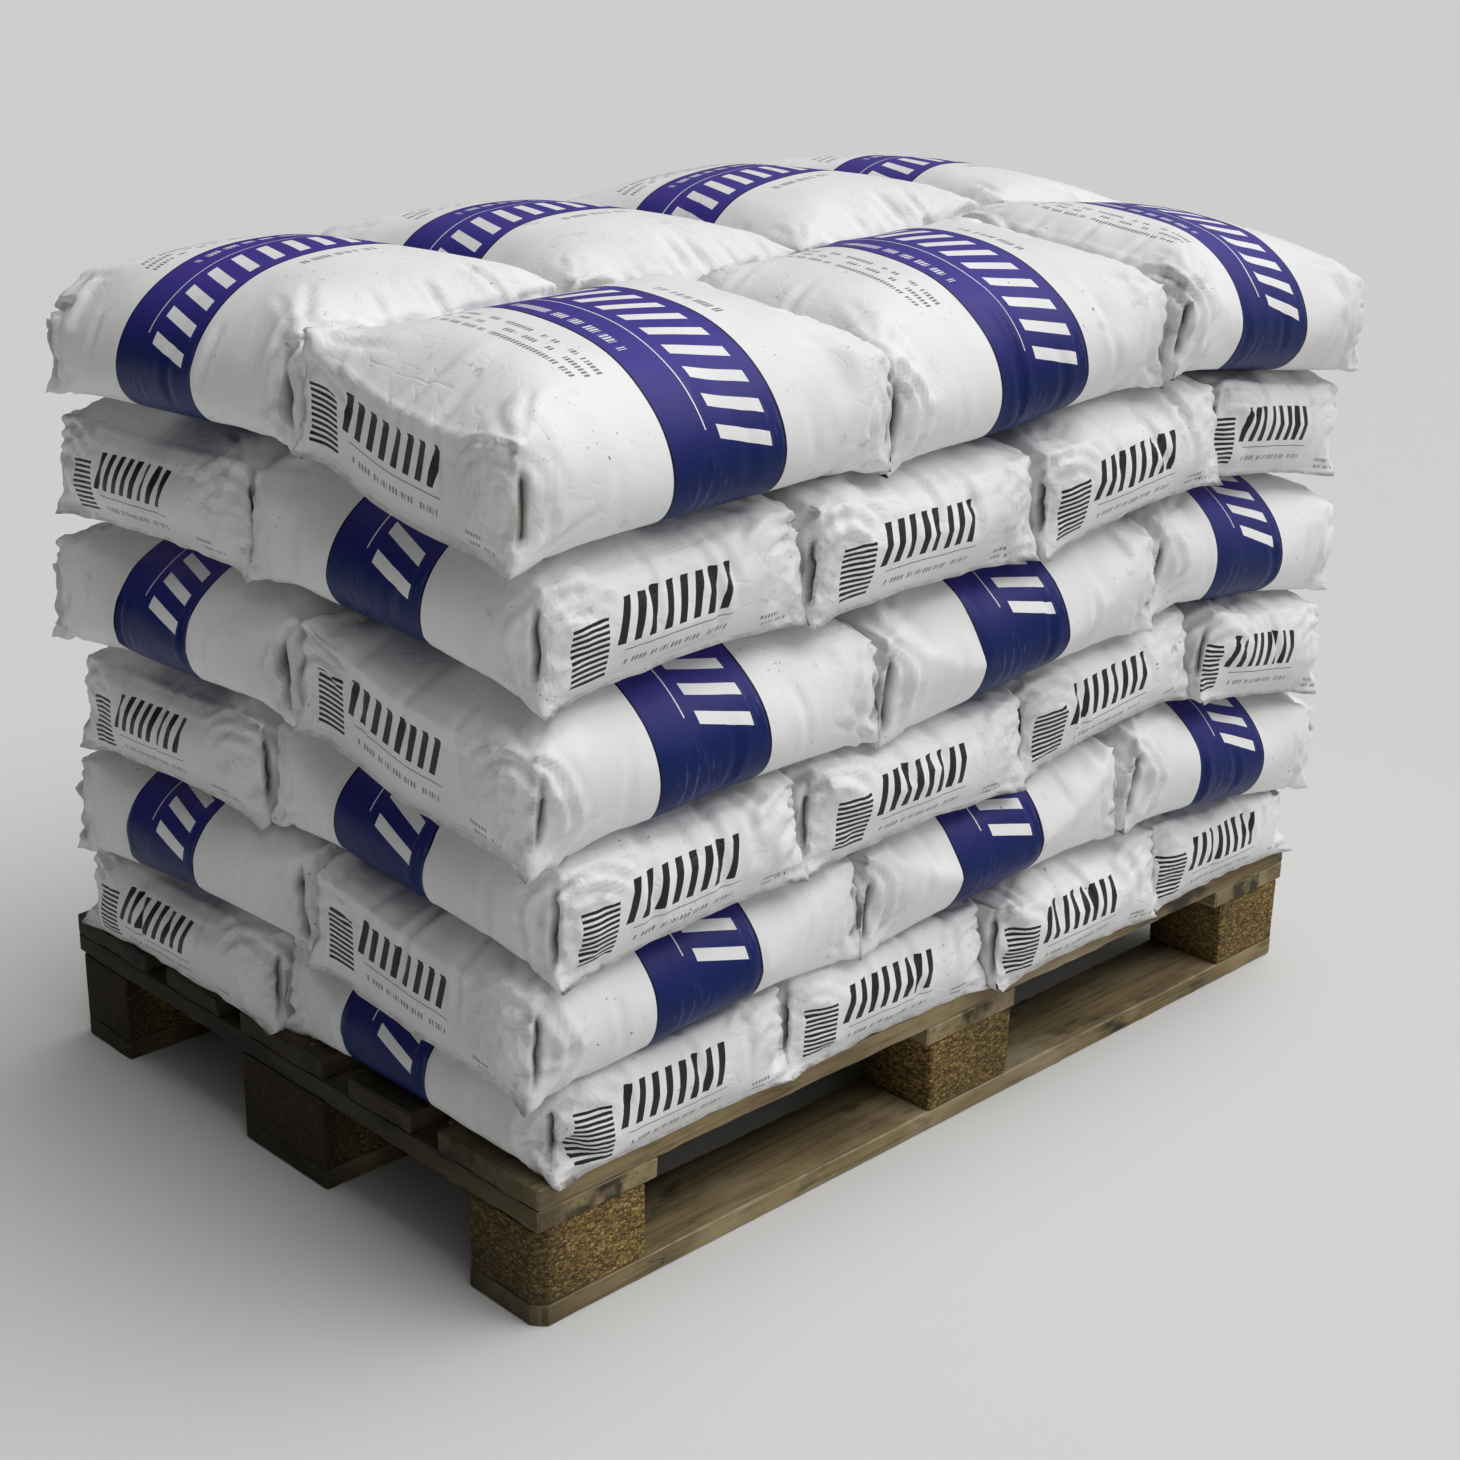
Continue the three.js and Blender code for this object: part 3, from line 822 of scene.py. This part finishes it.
class Material:
    """A principled material whose tree is built with short calls."""

    def __init__(self, name, roughness, specular=0.5):
        self.material = bpy.data.materials.new(name)
        self.material.use_nodes = True
        self.tree = self.material.node_tree
        self.inputs = self.tree.nodes["Principled BSDF"].inputs
        self.inputs["Roughness"].default_value = roughness
        self.inputs["Specular IOR Level"].default_value = specular
        self.place = self._node("TexCoord", {}, "Object")

    def _node(self, kind, inputs, output=0, **settings):
        return new_node(self.tree, kind, inputs, output, **settings)

    def joined(self, *values):
        return self._node("CombineXYZ", dict(enumerate(values)))

    def paper_place(self):
        """Paper coordinates: along and round a tube, or to the right and up on a bottom."""
        return split(self.tree, self._node("UVMap", {}, uv_map="paper"))[:2]

    def attribute(self, name):
        return Value(self.tree, self._node("Attribute", {}, "Fac", attribute_name=name))

    def stretched(self, *scale):
        return self._node("Mapping", {"Vector": self.place, "Scale": list(scale)})

    def noise(self, scale, detail=3.0, rough=0.5, distortion=0.0, place=None):
        inputs = {"Scale": scale, "Detail": detail, "Roughness": rough, "Distortion": distortion}
        return Value(self.tree, self._node("TexNoise", {"Vector": place or self.place, **inputs}))

    def cells(self, scale, output="Distance", place=None):
        inputs = {"Vector": place or self.place, "Scale": scale}
        socket = self._node("TexVoronoi", inputs, output)
        return split(self.tree, socket)[0] if output == "Color" else Value(self.tree, socket)

    def mixed(self, share, first, second):
        node = self.tree.nodes.new("ShaderNodeMix")
        node.data_type = "RGBA"
        sockets = {socket.identifier: socket for socket in (*node.inputs, *node.outputs)}
        *inputs, result = (sockets[name] for name in MIX_SOCKETS)
        for value, socket in zip((share, first, second), inputs):
            connect(self.tree, value, socket)
        return result

    def coated(self, colour, *coats):
        """A colour under one coat after the other, each with its share and its colour."""
        for share, coat in coats:
            colour = self.mixed(share, colour, coat)
        return colour

    def colour(self, value):
        connect(self.tree, value, self.inputs["Base Color"])

    def bump(self, height, depth):
        """Height is a number from the tree and depth its size in metres."""
        inputs = {"Strength": 1, "Distance": depth, "Height": height}
        connect(self.tree, self._node("Bump", inputs), self.inputs["Normal"])


def srgb(red, green, blue):
    """A colour from 0 to 255 as linear light."""
    return tuple(((c / 255 + 0.055) / 1.055) ** 2.4 for c in (red, green, blue))


# Paper

PAPER_WHITE = srgb(232, 232, 232)
PAPER_GREY = srgb(212, 212, 210)
DIRT = srgb(112, 104, 92)
KRAFT = srgb(150, 118, 92)
# painted shade: dark brown in the slit of each open fold
SLIT_SHADE_BROWN = srgb(70, 58, 44)
# painted sheen: the band's ink painted lighter violet where it lies on top; BAND_BLUE is its ink on the
# sides
BAND_TOP_SHEEN = srgb(64, 52, 138)
BAND_BLUE = srgb(12, 30, 86)
BAND_WORN = srgb(124, 128, 172)
# the band's printed edge line, and painted shade in the slit of each open fold where it crosses the band
BAND_EDGE_AND_SLIT_SHADE = srgb(14, 12, 30)
INK = srgb(34, 34, 38)
GREY_INK = srgb(92, 92, 96)

BAND_HALF = 0.0665  # metres
BAND_LINE = 0.0022  # the dark line along the band's edges
BAND_RULE = {"at": 0.045, "width": 0.0013, "from": -0.13, "to": 0.17}
BOTTOM_RULE = {"at": -0.0195, "width": 0.0012, "from": -0.076, "to": 0.048}
FRAYED_BELOW = -0.0488  # the paper's pasted edge at the foot of an end

# Boxes that hold marks, in metres: from and to in the first direction, then in the second one
BAND_BARS = (-0.152, 0.196, 0.058, 0.115)
BAND_DASHES = (-0.07, 0.08, 0.013, 0.035)
DASHES_BESIDE = (-0.09, 0.1, -0.122, -0.082)
DASHES_ABOVE = (-0.035, 0.05, 0.084, 0.106)
LADDER = (-0.038, 0.015, -0.129, -0.092)
END_BARS = (-0.085, 0.047, -0.013, 0.024)
END_DASHES = (-0.072, 0.044, -0.035, -0.023)
CORNER_DASHES = (0.086, 0.128, -0.044, -0.028)
DASH = {"period": 0.0042, "length": 0.0026, "line": 0.45, "gaps": 0.46}


def paper_base(material, along, round_way, crumpled, corner):
    """White paper with faint patches, smudges and specks, and the relief of its fine creases.

    The creases run mostly in the second of the two paper directions, and corner is 1 where the paper is
    crumpled into facets. The slit of each open fold is painted dark brown, as painted shade.
    """
    patches = material.noise(7, detail=4).ramp(0.45, 0.7)
    smudged = material.noise(5, detail=2).ramp(0.52, 0.66)
    smudge = material.noise(38, detail=5, rough=0.65).ramp(0.6, 0.74)
    specks = material.noise(210, detail=2).ramp(0.69, 0.73)
    spotted = material.noise(16, detail=2).ramp(0.54, 0.66)
    number = material.attribute("number")
    drawn_out = material.joined(along * 24, round_way * 4.5, number * 7.3)
    broken = material.joined(along * 9, round_way * 9, number * 3.1)
    crease = abs(material.noise(1, detail=2, rough=0.4, distortion=0.3, place=drawn_out) - 0.5)
    crease = crease.ramp(0.03, 0) * material.noise(1, detail=2, place=broken).ramp(0.54, 0.64)
    finer = abs(material.noise(34, detail=2, rough=0.4, distortion=0.5) - 0.5).ramp(0, 0.06)
    dents = material.noise(26, detail=2)
    grain = material.noise(330, detail=3)
    facets = material.cells(42) + material.cells(97) * 0.5
    creased = (finer * 0.3 - crease * 0.45) * crumpled + facets * corner * 3.6
    material.bump(creased + dents * 1.1 + grain * 0.05, 0.001)
    return material.coated(
        PAPER_WHITE,
        (patches * 0.55, PAPER_GREY),
        (smudge * smudged * 0.55, DIRT),
        (specks * spotted * 0.75, INK),
        # painted shade: the open fold's slit painted dark brown
        (material.attribute("fold"), SLIT_SHADE_BROWN),
    )


def dashes(material, u, v, box, lines):
    """Rows of short marks of uneven length inside a box, which spell nothing."""
    u0, u1, v0, v1 = box
    pitch = (v1 - v0) / lines
    from_foot = v - v0
    row = from_foot.row(pitch)
    lengths = material.noise(1, detail=1, place=material.joined(u * 95, row * 7.3, u0 * 1000))
    in_row = from_foot.repeat(pitch).below(pitch * DASH["line"])
    stroke = u.repeat(DASH["period"]).below(DASH["length"])
    return u.within(u0, u1) * v.within(v0, v1) * in_row * stroke * lengths.above(DASH["gaps"])


def slanted_bars(u, v, box, period, bar, slant=0.3):
    """A row of equal slanted bars inside a box."""
    u0, u1, v0, v1 = box
    upright = u - (v - v0) * slant
    return upright.within(u0, u1) * v.within(v0, v1) * (upright - u0).repeat(period).below(bar)


def thin_line(u, v, rule):
    return abs(v - rule["at"]).below(rule["width"] / 2) * u.within(rule["from"], rule["to"])


def band_ink(material, along, girth):
    """The band's ink: blue on the sides and violet on top, the lighter violet being a painted sheen;
    rubbed in streaks where it is low, with painted shade in each open fold's slit.
    """
    streaks = material.noise(1, detail=4, rough=0.7, place=material.joined(along * 230, girth * 26, 0.0))
    rubbed = material.noise(1, detail=3, place=material.joined(along * 18, girth * 14, 3.0))
    low = abs(girth).ramp(0.15, 0.25, 0.15, 1)
    worn = streaks.ramp(0.52, 0.68) * rubbed.ramp(0.48, 0.62) * low
    return material.coated(
        # painted sheen: violet on top, giving way to the blue ink down the sides
        BAND_TOP_SHEEN,
        (abs(girth).ramp(0.1, 0.2), BAND_BLUE),
        (worn * 0.6, BAND_WORN),
        # painted shade in the slit of each open fold
        (material.attribute("fold"), BAND_EDGE_AND_SLIT_SHADE),
    )


def make_tube():
    """The sack's sides, with a band round its middle, plain bars in the band and dashes beside it."""
    material = Material("printed_paper", 0.42, specular=0.14)
    along, girth = material.paper_place()
    near_end = abs(along).ramp(0.11, 0.2, 0.25, 1)
    corner = abs(along).ramp(0.19, 0.26) * abs(girth).ramp(0.11, 0.17)
    white = paper_base(material, along, girth, near_end, corner)
    beside = dashes(material, girth, along, DASHES_BESIDE, 3)
    above = dashes(material, girth, along, DASHES_ABOVE, 1)
    outside = material.mixed(beside.larger(above) * 0.85, white, GREY_INK)
    up = along + BAND_HALF
    bars = slanted_bars(girth, up, BAND_BARS, period=0.029, bar=0.0125)
    small = dashes(material, girth, up, BAND_DASHES, 1)
    marks = bars.larger(thin_line(girth, up, BAND_RULE)).larger(small * 0.9)
    edge = abs(along).above(BAND_HALF - BAND_LINE)
    band = material.coated(band_ink(material, along, girth), (marks, white), (edge, BAND_EDGE_AND_SLIT_SHADE))
    material.colour(material.mixed(abs(along).below(BAND_HALF), outside, band))
    return material.material


def make_bottom():
    """The block bottoms, with a ladder of bars, a row of slanted bars and dashes."""
    material = Material("printed_bottom", 0.45, specular=0.25)
    right, up = material.paper_place()
    white = paper_base(material, right, up, 1, abs(right).ramp(0.08, 0.135))
    ladder = slanted_bars(up, right, LADDER, period=0.0053, bar=0.0029, slant=0)
    bars = slanted_bars(right, up, END_BARS, period=0.0165, bar=0.0082)
    small = dashes(material, right, up, END_DASHES, 1)
    corner = dashes(material, right, up, CORNER_DASHES, 2)
    grey = thin_line(right, up, BOTTOM_RULE).larger(small).larger(corner)
    frayed = material.noise(60, detail=4).ramp(0.42, 0.6) * up.below(FRAYED_BELOW)
    coats = (ladder.larger(bars), INK), (grey * 0.8, GREY_INK), (frayed * 0.3, KRAFT)
    material.colour(material.coated(white, *coats))
    return material.material


# Wood

TIMBER = {"light": srgb(152, 134, 96), "mid": srgb(118, 101, 70), "dark": srgb(66, 56, 40)}
# dark colour of cracks and damp patches, and of the painted shade on the pallet's left end and under its
# deck
GRIME_AND_SHADE = srgb(30, 27, 21)
DUST = srgb(168, 158, 130)
STAIN = srgb(30, 32, 24)


def make_timber(name, length_axis):
    """Weathered sawn softwood with its grain along one axis."""
    material = Material(name, 0.8, specular=0.3)

    def drawn_out(across, along):
        """Texture places with so many cells a metre across the grain and along it."""
        scale = [across, across, across]
        scale[length_axis] = along
        return material.stretched(*scale)

    grain = material.noise(1, detail=6, rough=0.6, distortion=0.5, place=drawn_out(26, 1.6))
    fibres = material.noise(1, detail=3, rough=0.6, place=drawn_out(190, 5))
    patches = material.noise(6, detail=4, rough=0.6).ramp(0.35, 0.68)
    knot = material.cells(1, place=drawn_out(5.72, 0.352)).ramp(0.1, 0.02)
    crack = abs(material.noise(1, detail=2, place=drawn_out(44.2, 2.72)) - 0.5)
    cracks = crack.ramp(0.004, 0) * patches
    dust = material.noise(1, detail=5, rough=0.65, place=drawn_out(9, 3.5)).ramp(0.5, 0.68)
    stained = material.noise(1, detail=4, rough=0.6, place=drawn_out(12.6, 4.9)).ramp(0.55, 0.63)
    chipped = material.noise(70, detail=3).ramp(0.4, 0.6, 0.35, 1)
    material.colour(material.coated(
        TIMBER["mid"],
        (grain.ramp(0.34, 0.62), TIMBER["light"]),
        (fibres.ramp(0.5, 0.66) * 0.5, TIMBER["dark"]),
        (patches * 0.5, TIMBER["dark"]),
        (knot * 0.8, TIMBER["dark"]),
        (cracks * 0.8, GRIME_AND_SHADE),
        (dust * 0.6, DUST),
        (stained * 0.85, STAIN),
        (material.attribute("edge") * chipped * 0.75, DUST),
        # painted shade on the pallet's left end and under the deck
        (material.attribute("grime"), GRIME_AND_SHADE),
    ))
    material.bump(grain * 0.8 + fibres * 0.5 - cracks * 1.2 - knot * 0.3, 0.0011)
    return material.material


CHIP = {"light": srgb(192, 166, 104), "mid": srgb(144, 118, 64), "dark": srgb(82, 64, 36)}
CHIP_CELLS = 220  # to a metre
SMALL_CHIP_CELLS = 540
STEEL = srgb(120, 112, 104)
RUST = srgb(92, 60, 38)


def make_chips():
    """Blocks pressed from wood chips."""
    material = Material("pressed_chips", 0.85, specular=0.25)
    warped = material.stretched(1, 1, 1.7)
    tone = material.cells(CHIP_CELLS, "Color", place=warped)
    depth = material.cells(CHIP_CELLS, place=warped)
    small = material.cells(SMALL_CHIP_CELLS, "Color", place=warped)
    damp = material.noise(9, detail=4).ramp(0.4, 0.7)
    material.colour(material.coated(
        CHIP["dark"],
        (tone.ramp(0.2, 0.8), CHIP["mid"]),
        (small.ramp(0.72, 0.95) * 0.75, CHIP["light"]),
        (tone.ramp(0.85, 0.98) * 0.7, CHIP["light"]),
        (depth.ramp(0.42, 0.75) * 0.55, CHIP["dark"]),
        (damp * 0.35, GRIME_AND_SHADE),
        # painted shade on the pallet's left end and under the deck
        (material.attribute("grime"), GRIME_AND_SHADE),
    ))
    material.bump(tone * 0.7 - depth * 0.9 + small * 0.4, 0.0016)
    return material.material


def make_steel():
    material = Material("nail_steel", 0.5)
    rust = material.noise(300, detail=3).ramp(0.4, 0.6)
    material.colour(material.mixed(rust, STEEL, RUST))
    material.bump(rust, 0.0003)
    material.inputs["Metallic"].default_value = 0.7
    return material.material


# Pallet

PALLET_HALF = (600, 400)  # mm
CHAMFER = 12  # of the corners below the deck
WORN_CORNER = 4
DECK_BOTTOM = 99
TIMBER_CELL = 9  # mm
ARRIS = 2.4  # width of the boards' worn edges
WORN_EDGE = 0.9
DENT = 3.5
SHARP = 0.4  # radians from which an edge is shaded sharp
# painted shade: darker on the pallet's left end, most at its back, and under the deck inside its rim
LEFT_END_SHADE = {"from": 540, "least": 0.55, "more": 0.35, "full_at": -150}
UNDER_DECK_SHADE = {"inside": (20, 160), "below": (-142, -120), "share": 1.2}
MOST_SHADE = 0.93
SKID_TOP = 22
BLOCK_PLACES = (-535, 0, 535)
BLOCK_HALF = 65


def ruled(low, high, cells):
    """Places along one side of a board: close together at its edges and even between them."""
    return np.concatenate([[low], np.linspace(low + ARRIS, high - ARRIS, cells - 1), [high]])


def worn_box(low, high, number, wear):
    """A board or block between two corners in mm: its points, faces and which points are on edges."""
    low, high = np.array(low), np.array(high)
    cells = np.maximum(np.round((high - low) / TIMBER_CELL).astype(int), 4)
    lattice = Lattice(cells)
    rules = [ruled(*ends) for ends in zip(low, high, cells)]
    points = np.stack([rule[place] for rule, place in zip(rules, lattice.places.T)], axis=1)
    at_face = lattice.to_edge == 0
    inward = np.where(lattice.places == 0, 1, -1) * at_face
    on_edge = at_face.sum(axis=1) >= 2
    long_noise = smooth_noise(lattice.share, np.maximum(cells // 3, 2), SEED + 300 + number)
    fine_noise = smooth_noise(lattice.share, np.maximum(cells // 2, 2), SEED + 400 + number)
    dents = DENT * np.clip(np.abs(long_noise) - 1.3, 0, 1)
    worn = wear * np.where(on_edge, WORN_EDGE + 0.4 * fine_noise + dents, 0.2 * np.abs(fine_noise))
    points = points + inward * np.maximum(worn, 0)[:, None]
    cut = CHAMFER if low[UP] < DECK_BOTTOM else WORN_CORNER
    over = np.abs(points[:, :2]) - (np.array(PALLET_HALF) - cut)
    past = np.where((over > 0).all(axis=1), np.maximum(over.sum(axis=1) - cut, 0), 0)
    points[:, :2] -= np.sign(points[:, :2]) * past[:, None] / 2
    return points, lattice.quads, on_edge


def grime(points):
    """Painted shade under the deck and on the pallet's left end, most of all at its back."""
    half_length, half_width = PALLET_HALF
    at_back = smooth_step(points[:, 1], -half_width, LEFT_END_SHADE["full_at"])
    left = smooth_step(-points[:, 0], LEFT_END_SHADE["from"], half_length)
    left *= LEFT_END_SHADE["least"] + LEFT_END_SHADE["more"] * at_back
    inside = (np.array(PALLET_HALF) - np.abs(points[:, :2])).min(axis=1)
    under = smooth_step(inside, *UNDER_DECK_SHADE["inside"])
    under *= smooth_step(-points[:, 2], *UNDER_DECK_SHADE["below"]) * UNDER_DECK_SHADE["share"]
    return np.clip(left + under, 0, MOST_SHADE)


def add_timber(node, boxes, number, materials, wear=1):
    """A piece made of worn boxes, each with the material of the same place or the only one."""
    shells = [worn_box(low, high, 10 * number + i, wear) for i, (low, high) in enumerate(boxes)]
    starts = np.cumsum([0] + [len(shell[0]) for shell in shells])
    points = np.concatenate([shell[0] for shell in shells])
    quads = np.concatenate([shell[1] + start for shell, start in zip(shells, starts)])
    on_edge = np.concatenate([shell[2] for shell in shells])
    mesh = new_mesh(node + "_worn", points, quads.tolist(), materials)
    mesh.shade_smooth()
    mesh.set_sharp_from_angle(angle=SHARP)
    # painted shade, which the timber and chip materials darken with
    add_numbers(mesh, grime=grime(points), edge=on_edge)
    which = [min(i, len(materials) - 1) for i, shell in enumerate(shells) for quad in shell[1]]
    mesh.polygons.foreach_set("material_index", which)
    piece = placed(mesh.name, mesh)
    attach(piece, "root")
    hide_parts(node)


def node_box(node):
    return tuple(np.round(np.array(corner) / MM, 3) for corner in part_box(node))


def middle_skid_boxes():
    """The middle skid's board and its three blocks, from its own box."""
    low, high = node_box("skid_middle_with_blocks")
    boxes = [(low, np.array([high[0], high[1], SKID_TOP]))]
    for x in BLOCK_PLACES:
        block_low = np.array([x - BLOCK_HALF, low[1], SKID_TOP - 1])
        boxes.append((block_low, np.array([x + BLOCK_HALF, high[1], high[2]])))
    return boxes


def add_pallet():
    along_x = make_timber("timber_along_x", 0)
    along_y = make_timber("timber_along_y", 1)
    chips = make_chips()
    names = sorted(name for name in frame["nodes"] if not name.startswith("sack_"))
    for number, node in enumerate(names):
        boxes = [node_box(node)]
        if node == "skid_middle_with_blocks":
            add_timber(node, middle_skid_boxes(), number, [along_x, chips])
        elif node.startswith("block_"):
            add_timber(node, boxes, number, [chips], wear=1.3)
        else:
            timber = along_y if node.startswith("cross_") else along_x
            add_timber(node, boxes, number, [timber])
    add_nails()


NAIL_RADIUS = 4.2
NAIL_HEIGHT = 0.9
NAIL_SIDES = 12
NAIL_MISS = 4  # how far nails are off their places, in millimetres
NAIL_SINK = 0.3
NAIL_COLUMNS = (-545, 0, 545)
NAIL_PAIR = (-32, 32)
NAIL_ROWS = {
    "deck": (-372, -328, -250, 0, 36, -36, 250, 328, 372),
    "skid": (-380, -350, -320, -30, 0, 30, 320, 350, 380),
}


def nail_head(x, y, z, up):
    """Points and faces of a low domed nail head that stands on z."""
    rings = [(NAIL_RADIUS, 0), (NAIL_RADIUS, 0.5), (NAIL_RADIUS * 0.6, NAIL_HEIGHT)]
    turn = up * np.arange(NAIL_SIDES) * 2 * math.pi / NAIL_SIDES
    points = [[x + r * math.cos(t), y + r * math.sin(t), z + up * h] for r, h in rings for t in turn]
    top = (len(rings) - 1) * NAIL_SIDES
    faces = [list(range(top, top + NAIL_SIDES)), list(range(NAIL_SIDES))[::-1]]
    for ring, i in itertools.product(range(0, top, NAIL_SIDES), range(NAIL_SIDES)):
        a, b = ring + i, ring + (i + 1) % NAIL_SIDES
        faces.append([a, b, b + NAIL_SIDES, a + NAIL_SIDES])
    return points, faces


def add_nails():
    """Nail heads where the boards cross, on the deck and under the skids."""
    rng = np.random.default_rng(SEED)
    for name, z, up in (("deck", DECK_TOP - NAIL_SINK, 1), ("skid", NAIL_HEIGHT, -1)):
        points, faces = [], []
        for middle, row, offset in itertools.product(NAIL_COLUMNS, NAIL_ROWS[name], NAIL_PAIR):
            x, y = (middle + offset, row) + rng.normal(0, NAIL_MISS, 2)
            head, around = nail_head(x, y, z, up)
            faces += [[i + len(points) for i in face] for face in around]
            points += head
        mesh = new_mesh(f"nails_{name}", points, faces, [make_steel()])
        piece = placed(mesh.name, mesh)
        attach(piece, "root")


# Camera, light and floor

CAMERA_PLACE = (-1702.1, -1729.4, 1185.7)  # mm
CAMERA_AZIMUTH = 45.02  # degrees from +X
CAMERA_ELEVATION = -19.46
CAMERA_ROLL = 1.23
FOCAL_PIXELS = 2241.5
PICTURE_WIDTH = 1460
SENSOR_WIDTH = 36
KEY = {"towards": (0.42, -0.45, 1.3), "power": 2.3, "spread": 60}
SKY = {"towards": (0.5, -0.42, 0.76), "dark": 0.01, "bright": 0.62, "bright_from": 0.95}
FLOOR_SIZE = 240
FLOOR_GREY = srgb(206, 206, 205)


def add_camera():
    data = bpy.data.cameras.new("camera")
    data.sensor_width = SENSOR_WIDTH
    data.lens = FOCAL_PIXELS / PICTURE_WIDTH * SENSOR_WIDTH
    camera = placed("camera", data)
    azimuth, elevation = math.radians(CAMERA_AZIMUTH), math.radians(CAMERA_ELEVATION)
    level = math.cos(elevation)
    aim = Vector((level * math.cos(azimuth), level * math.sin(azimuth), math.sin(elevation)))
    turn = aim.to_track_quat("-Z", "Y").to_matrix()
    roll = Euler((0, 0, math.radians(CAMERA_ROLL))).to_matrix()
    camera.matrix_world = (turn @ roll).to_4x4()
    camera.location = Vector(CAMERA_PLACE) * MM
    bpy.context.scene.camera = camera


def add_key():
    """A broad soft light from above, in front and to the right."""
    data = bpy.data.lights.new("key", "SUN")
    data.energy = KEY["power"]
    data.angle = math.radians(KEY["spread"])
    light = placed("key", data)
    light.rotation_euler = Vector(KEY["towards"]).to_track_quat("Z", "Y").to_euler()


def add_sky():
    """A soft studio light that is brightest above, in front and to the right."""
    world = bpy.data.worlds.new("studio")
    bpy.context.scene.world = world
    world.use_nodes = True
    tree = world.node_tree
    parts = split(tree, new_node(tree, "TexCoord", {}, "Generated"))
    x, y, z = (part * share for part, share in zip(parts, SKY["towards"]))
    background = tree.nodes["Background"]
    background.inputs["Color"].default_value = (1, 1, 1, 1)
    strength = (x + y + z).ramp(0, SKY["bright_from"], SKY["dark"], SKY["bright"])
    connect(tree, strength, background.inputs["Strength"])


def add_studio():
    bpy.ops.mesh.primitive_plane_add(size=FLOOR_SIZE)
    floor = bpy.context.object
    floor.name = "studio_floor"
    finish = Material("studio_floor", 0.9, specular=0.1)
    finish.colour(FLOOR_GREY)
    floor.data.materials.append(finish.material)
    add_sky()
    add_key()
    bpy.context.scene.view_settings.view_transform = "Standard"


def add_sacks():
    names = sorted(name for name in frame["nodes"] if name.startswith("sack_"))
    sacks = [Sack(name, number) for number, name in enumerate(names)]
    shapes, lattice = shape_all(sacks, STAGES)
    materials = [make_tube(), make_bottom()]
    for sack, points in zip(sacks, shapes):
        add_sack(sack, points, lattice, materials)


add_sacks()
add_pallet()
add_camera()
add_studio()
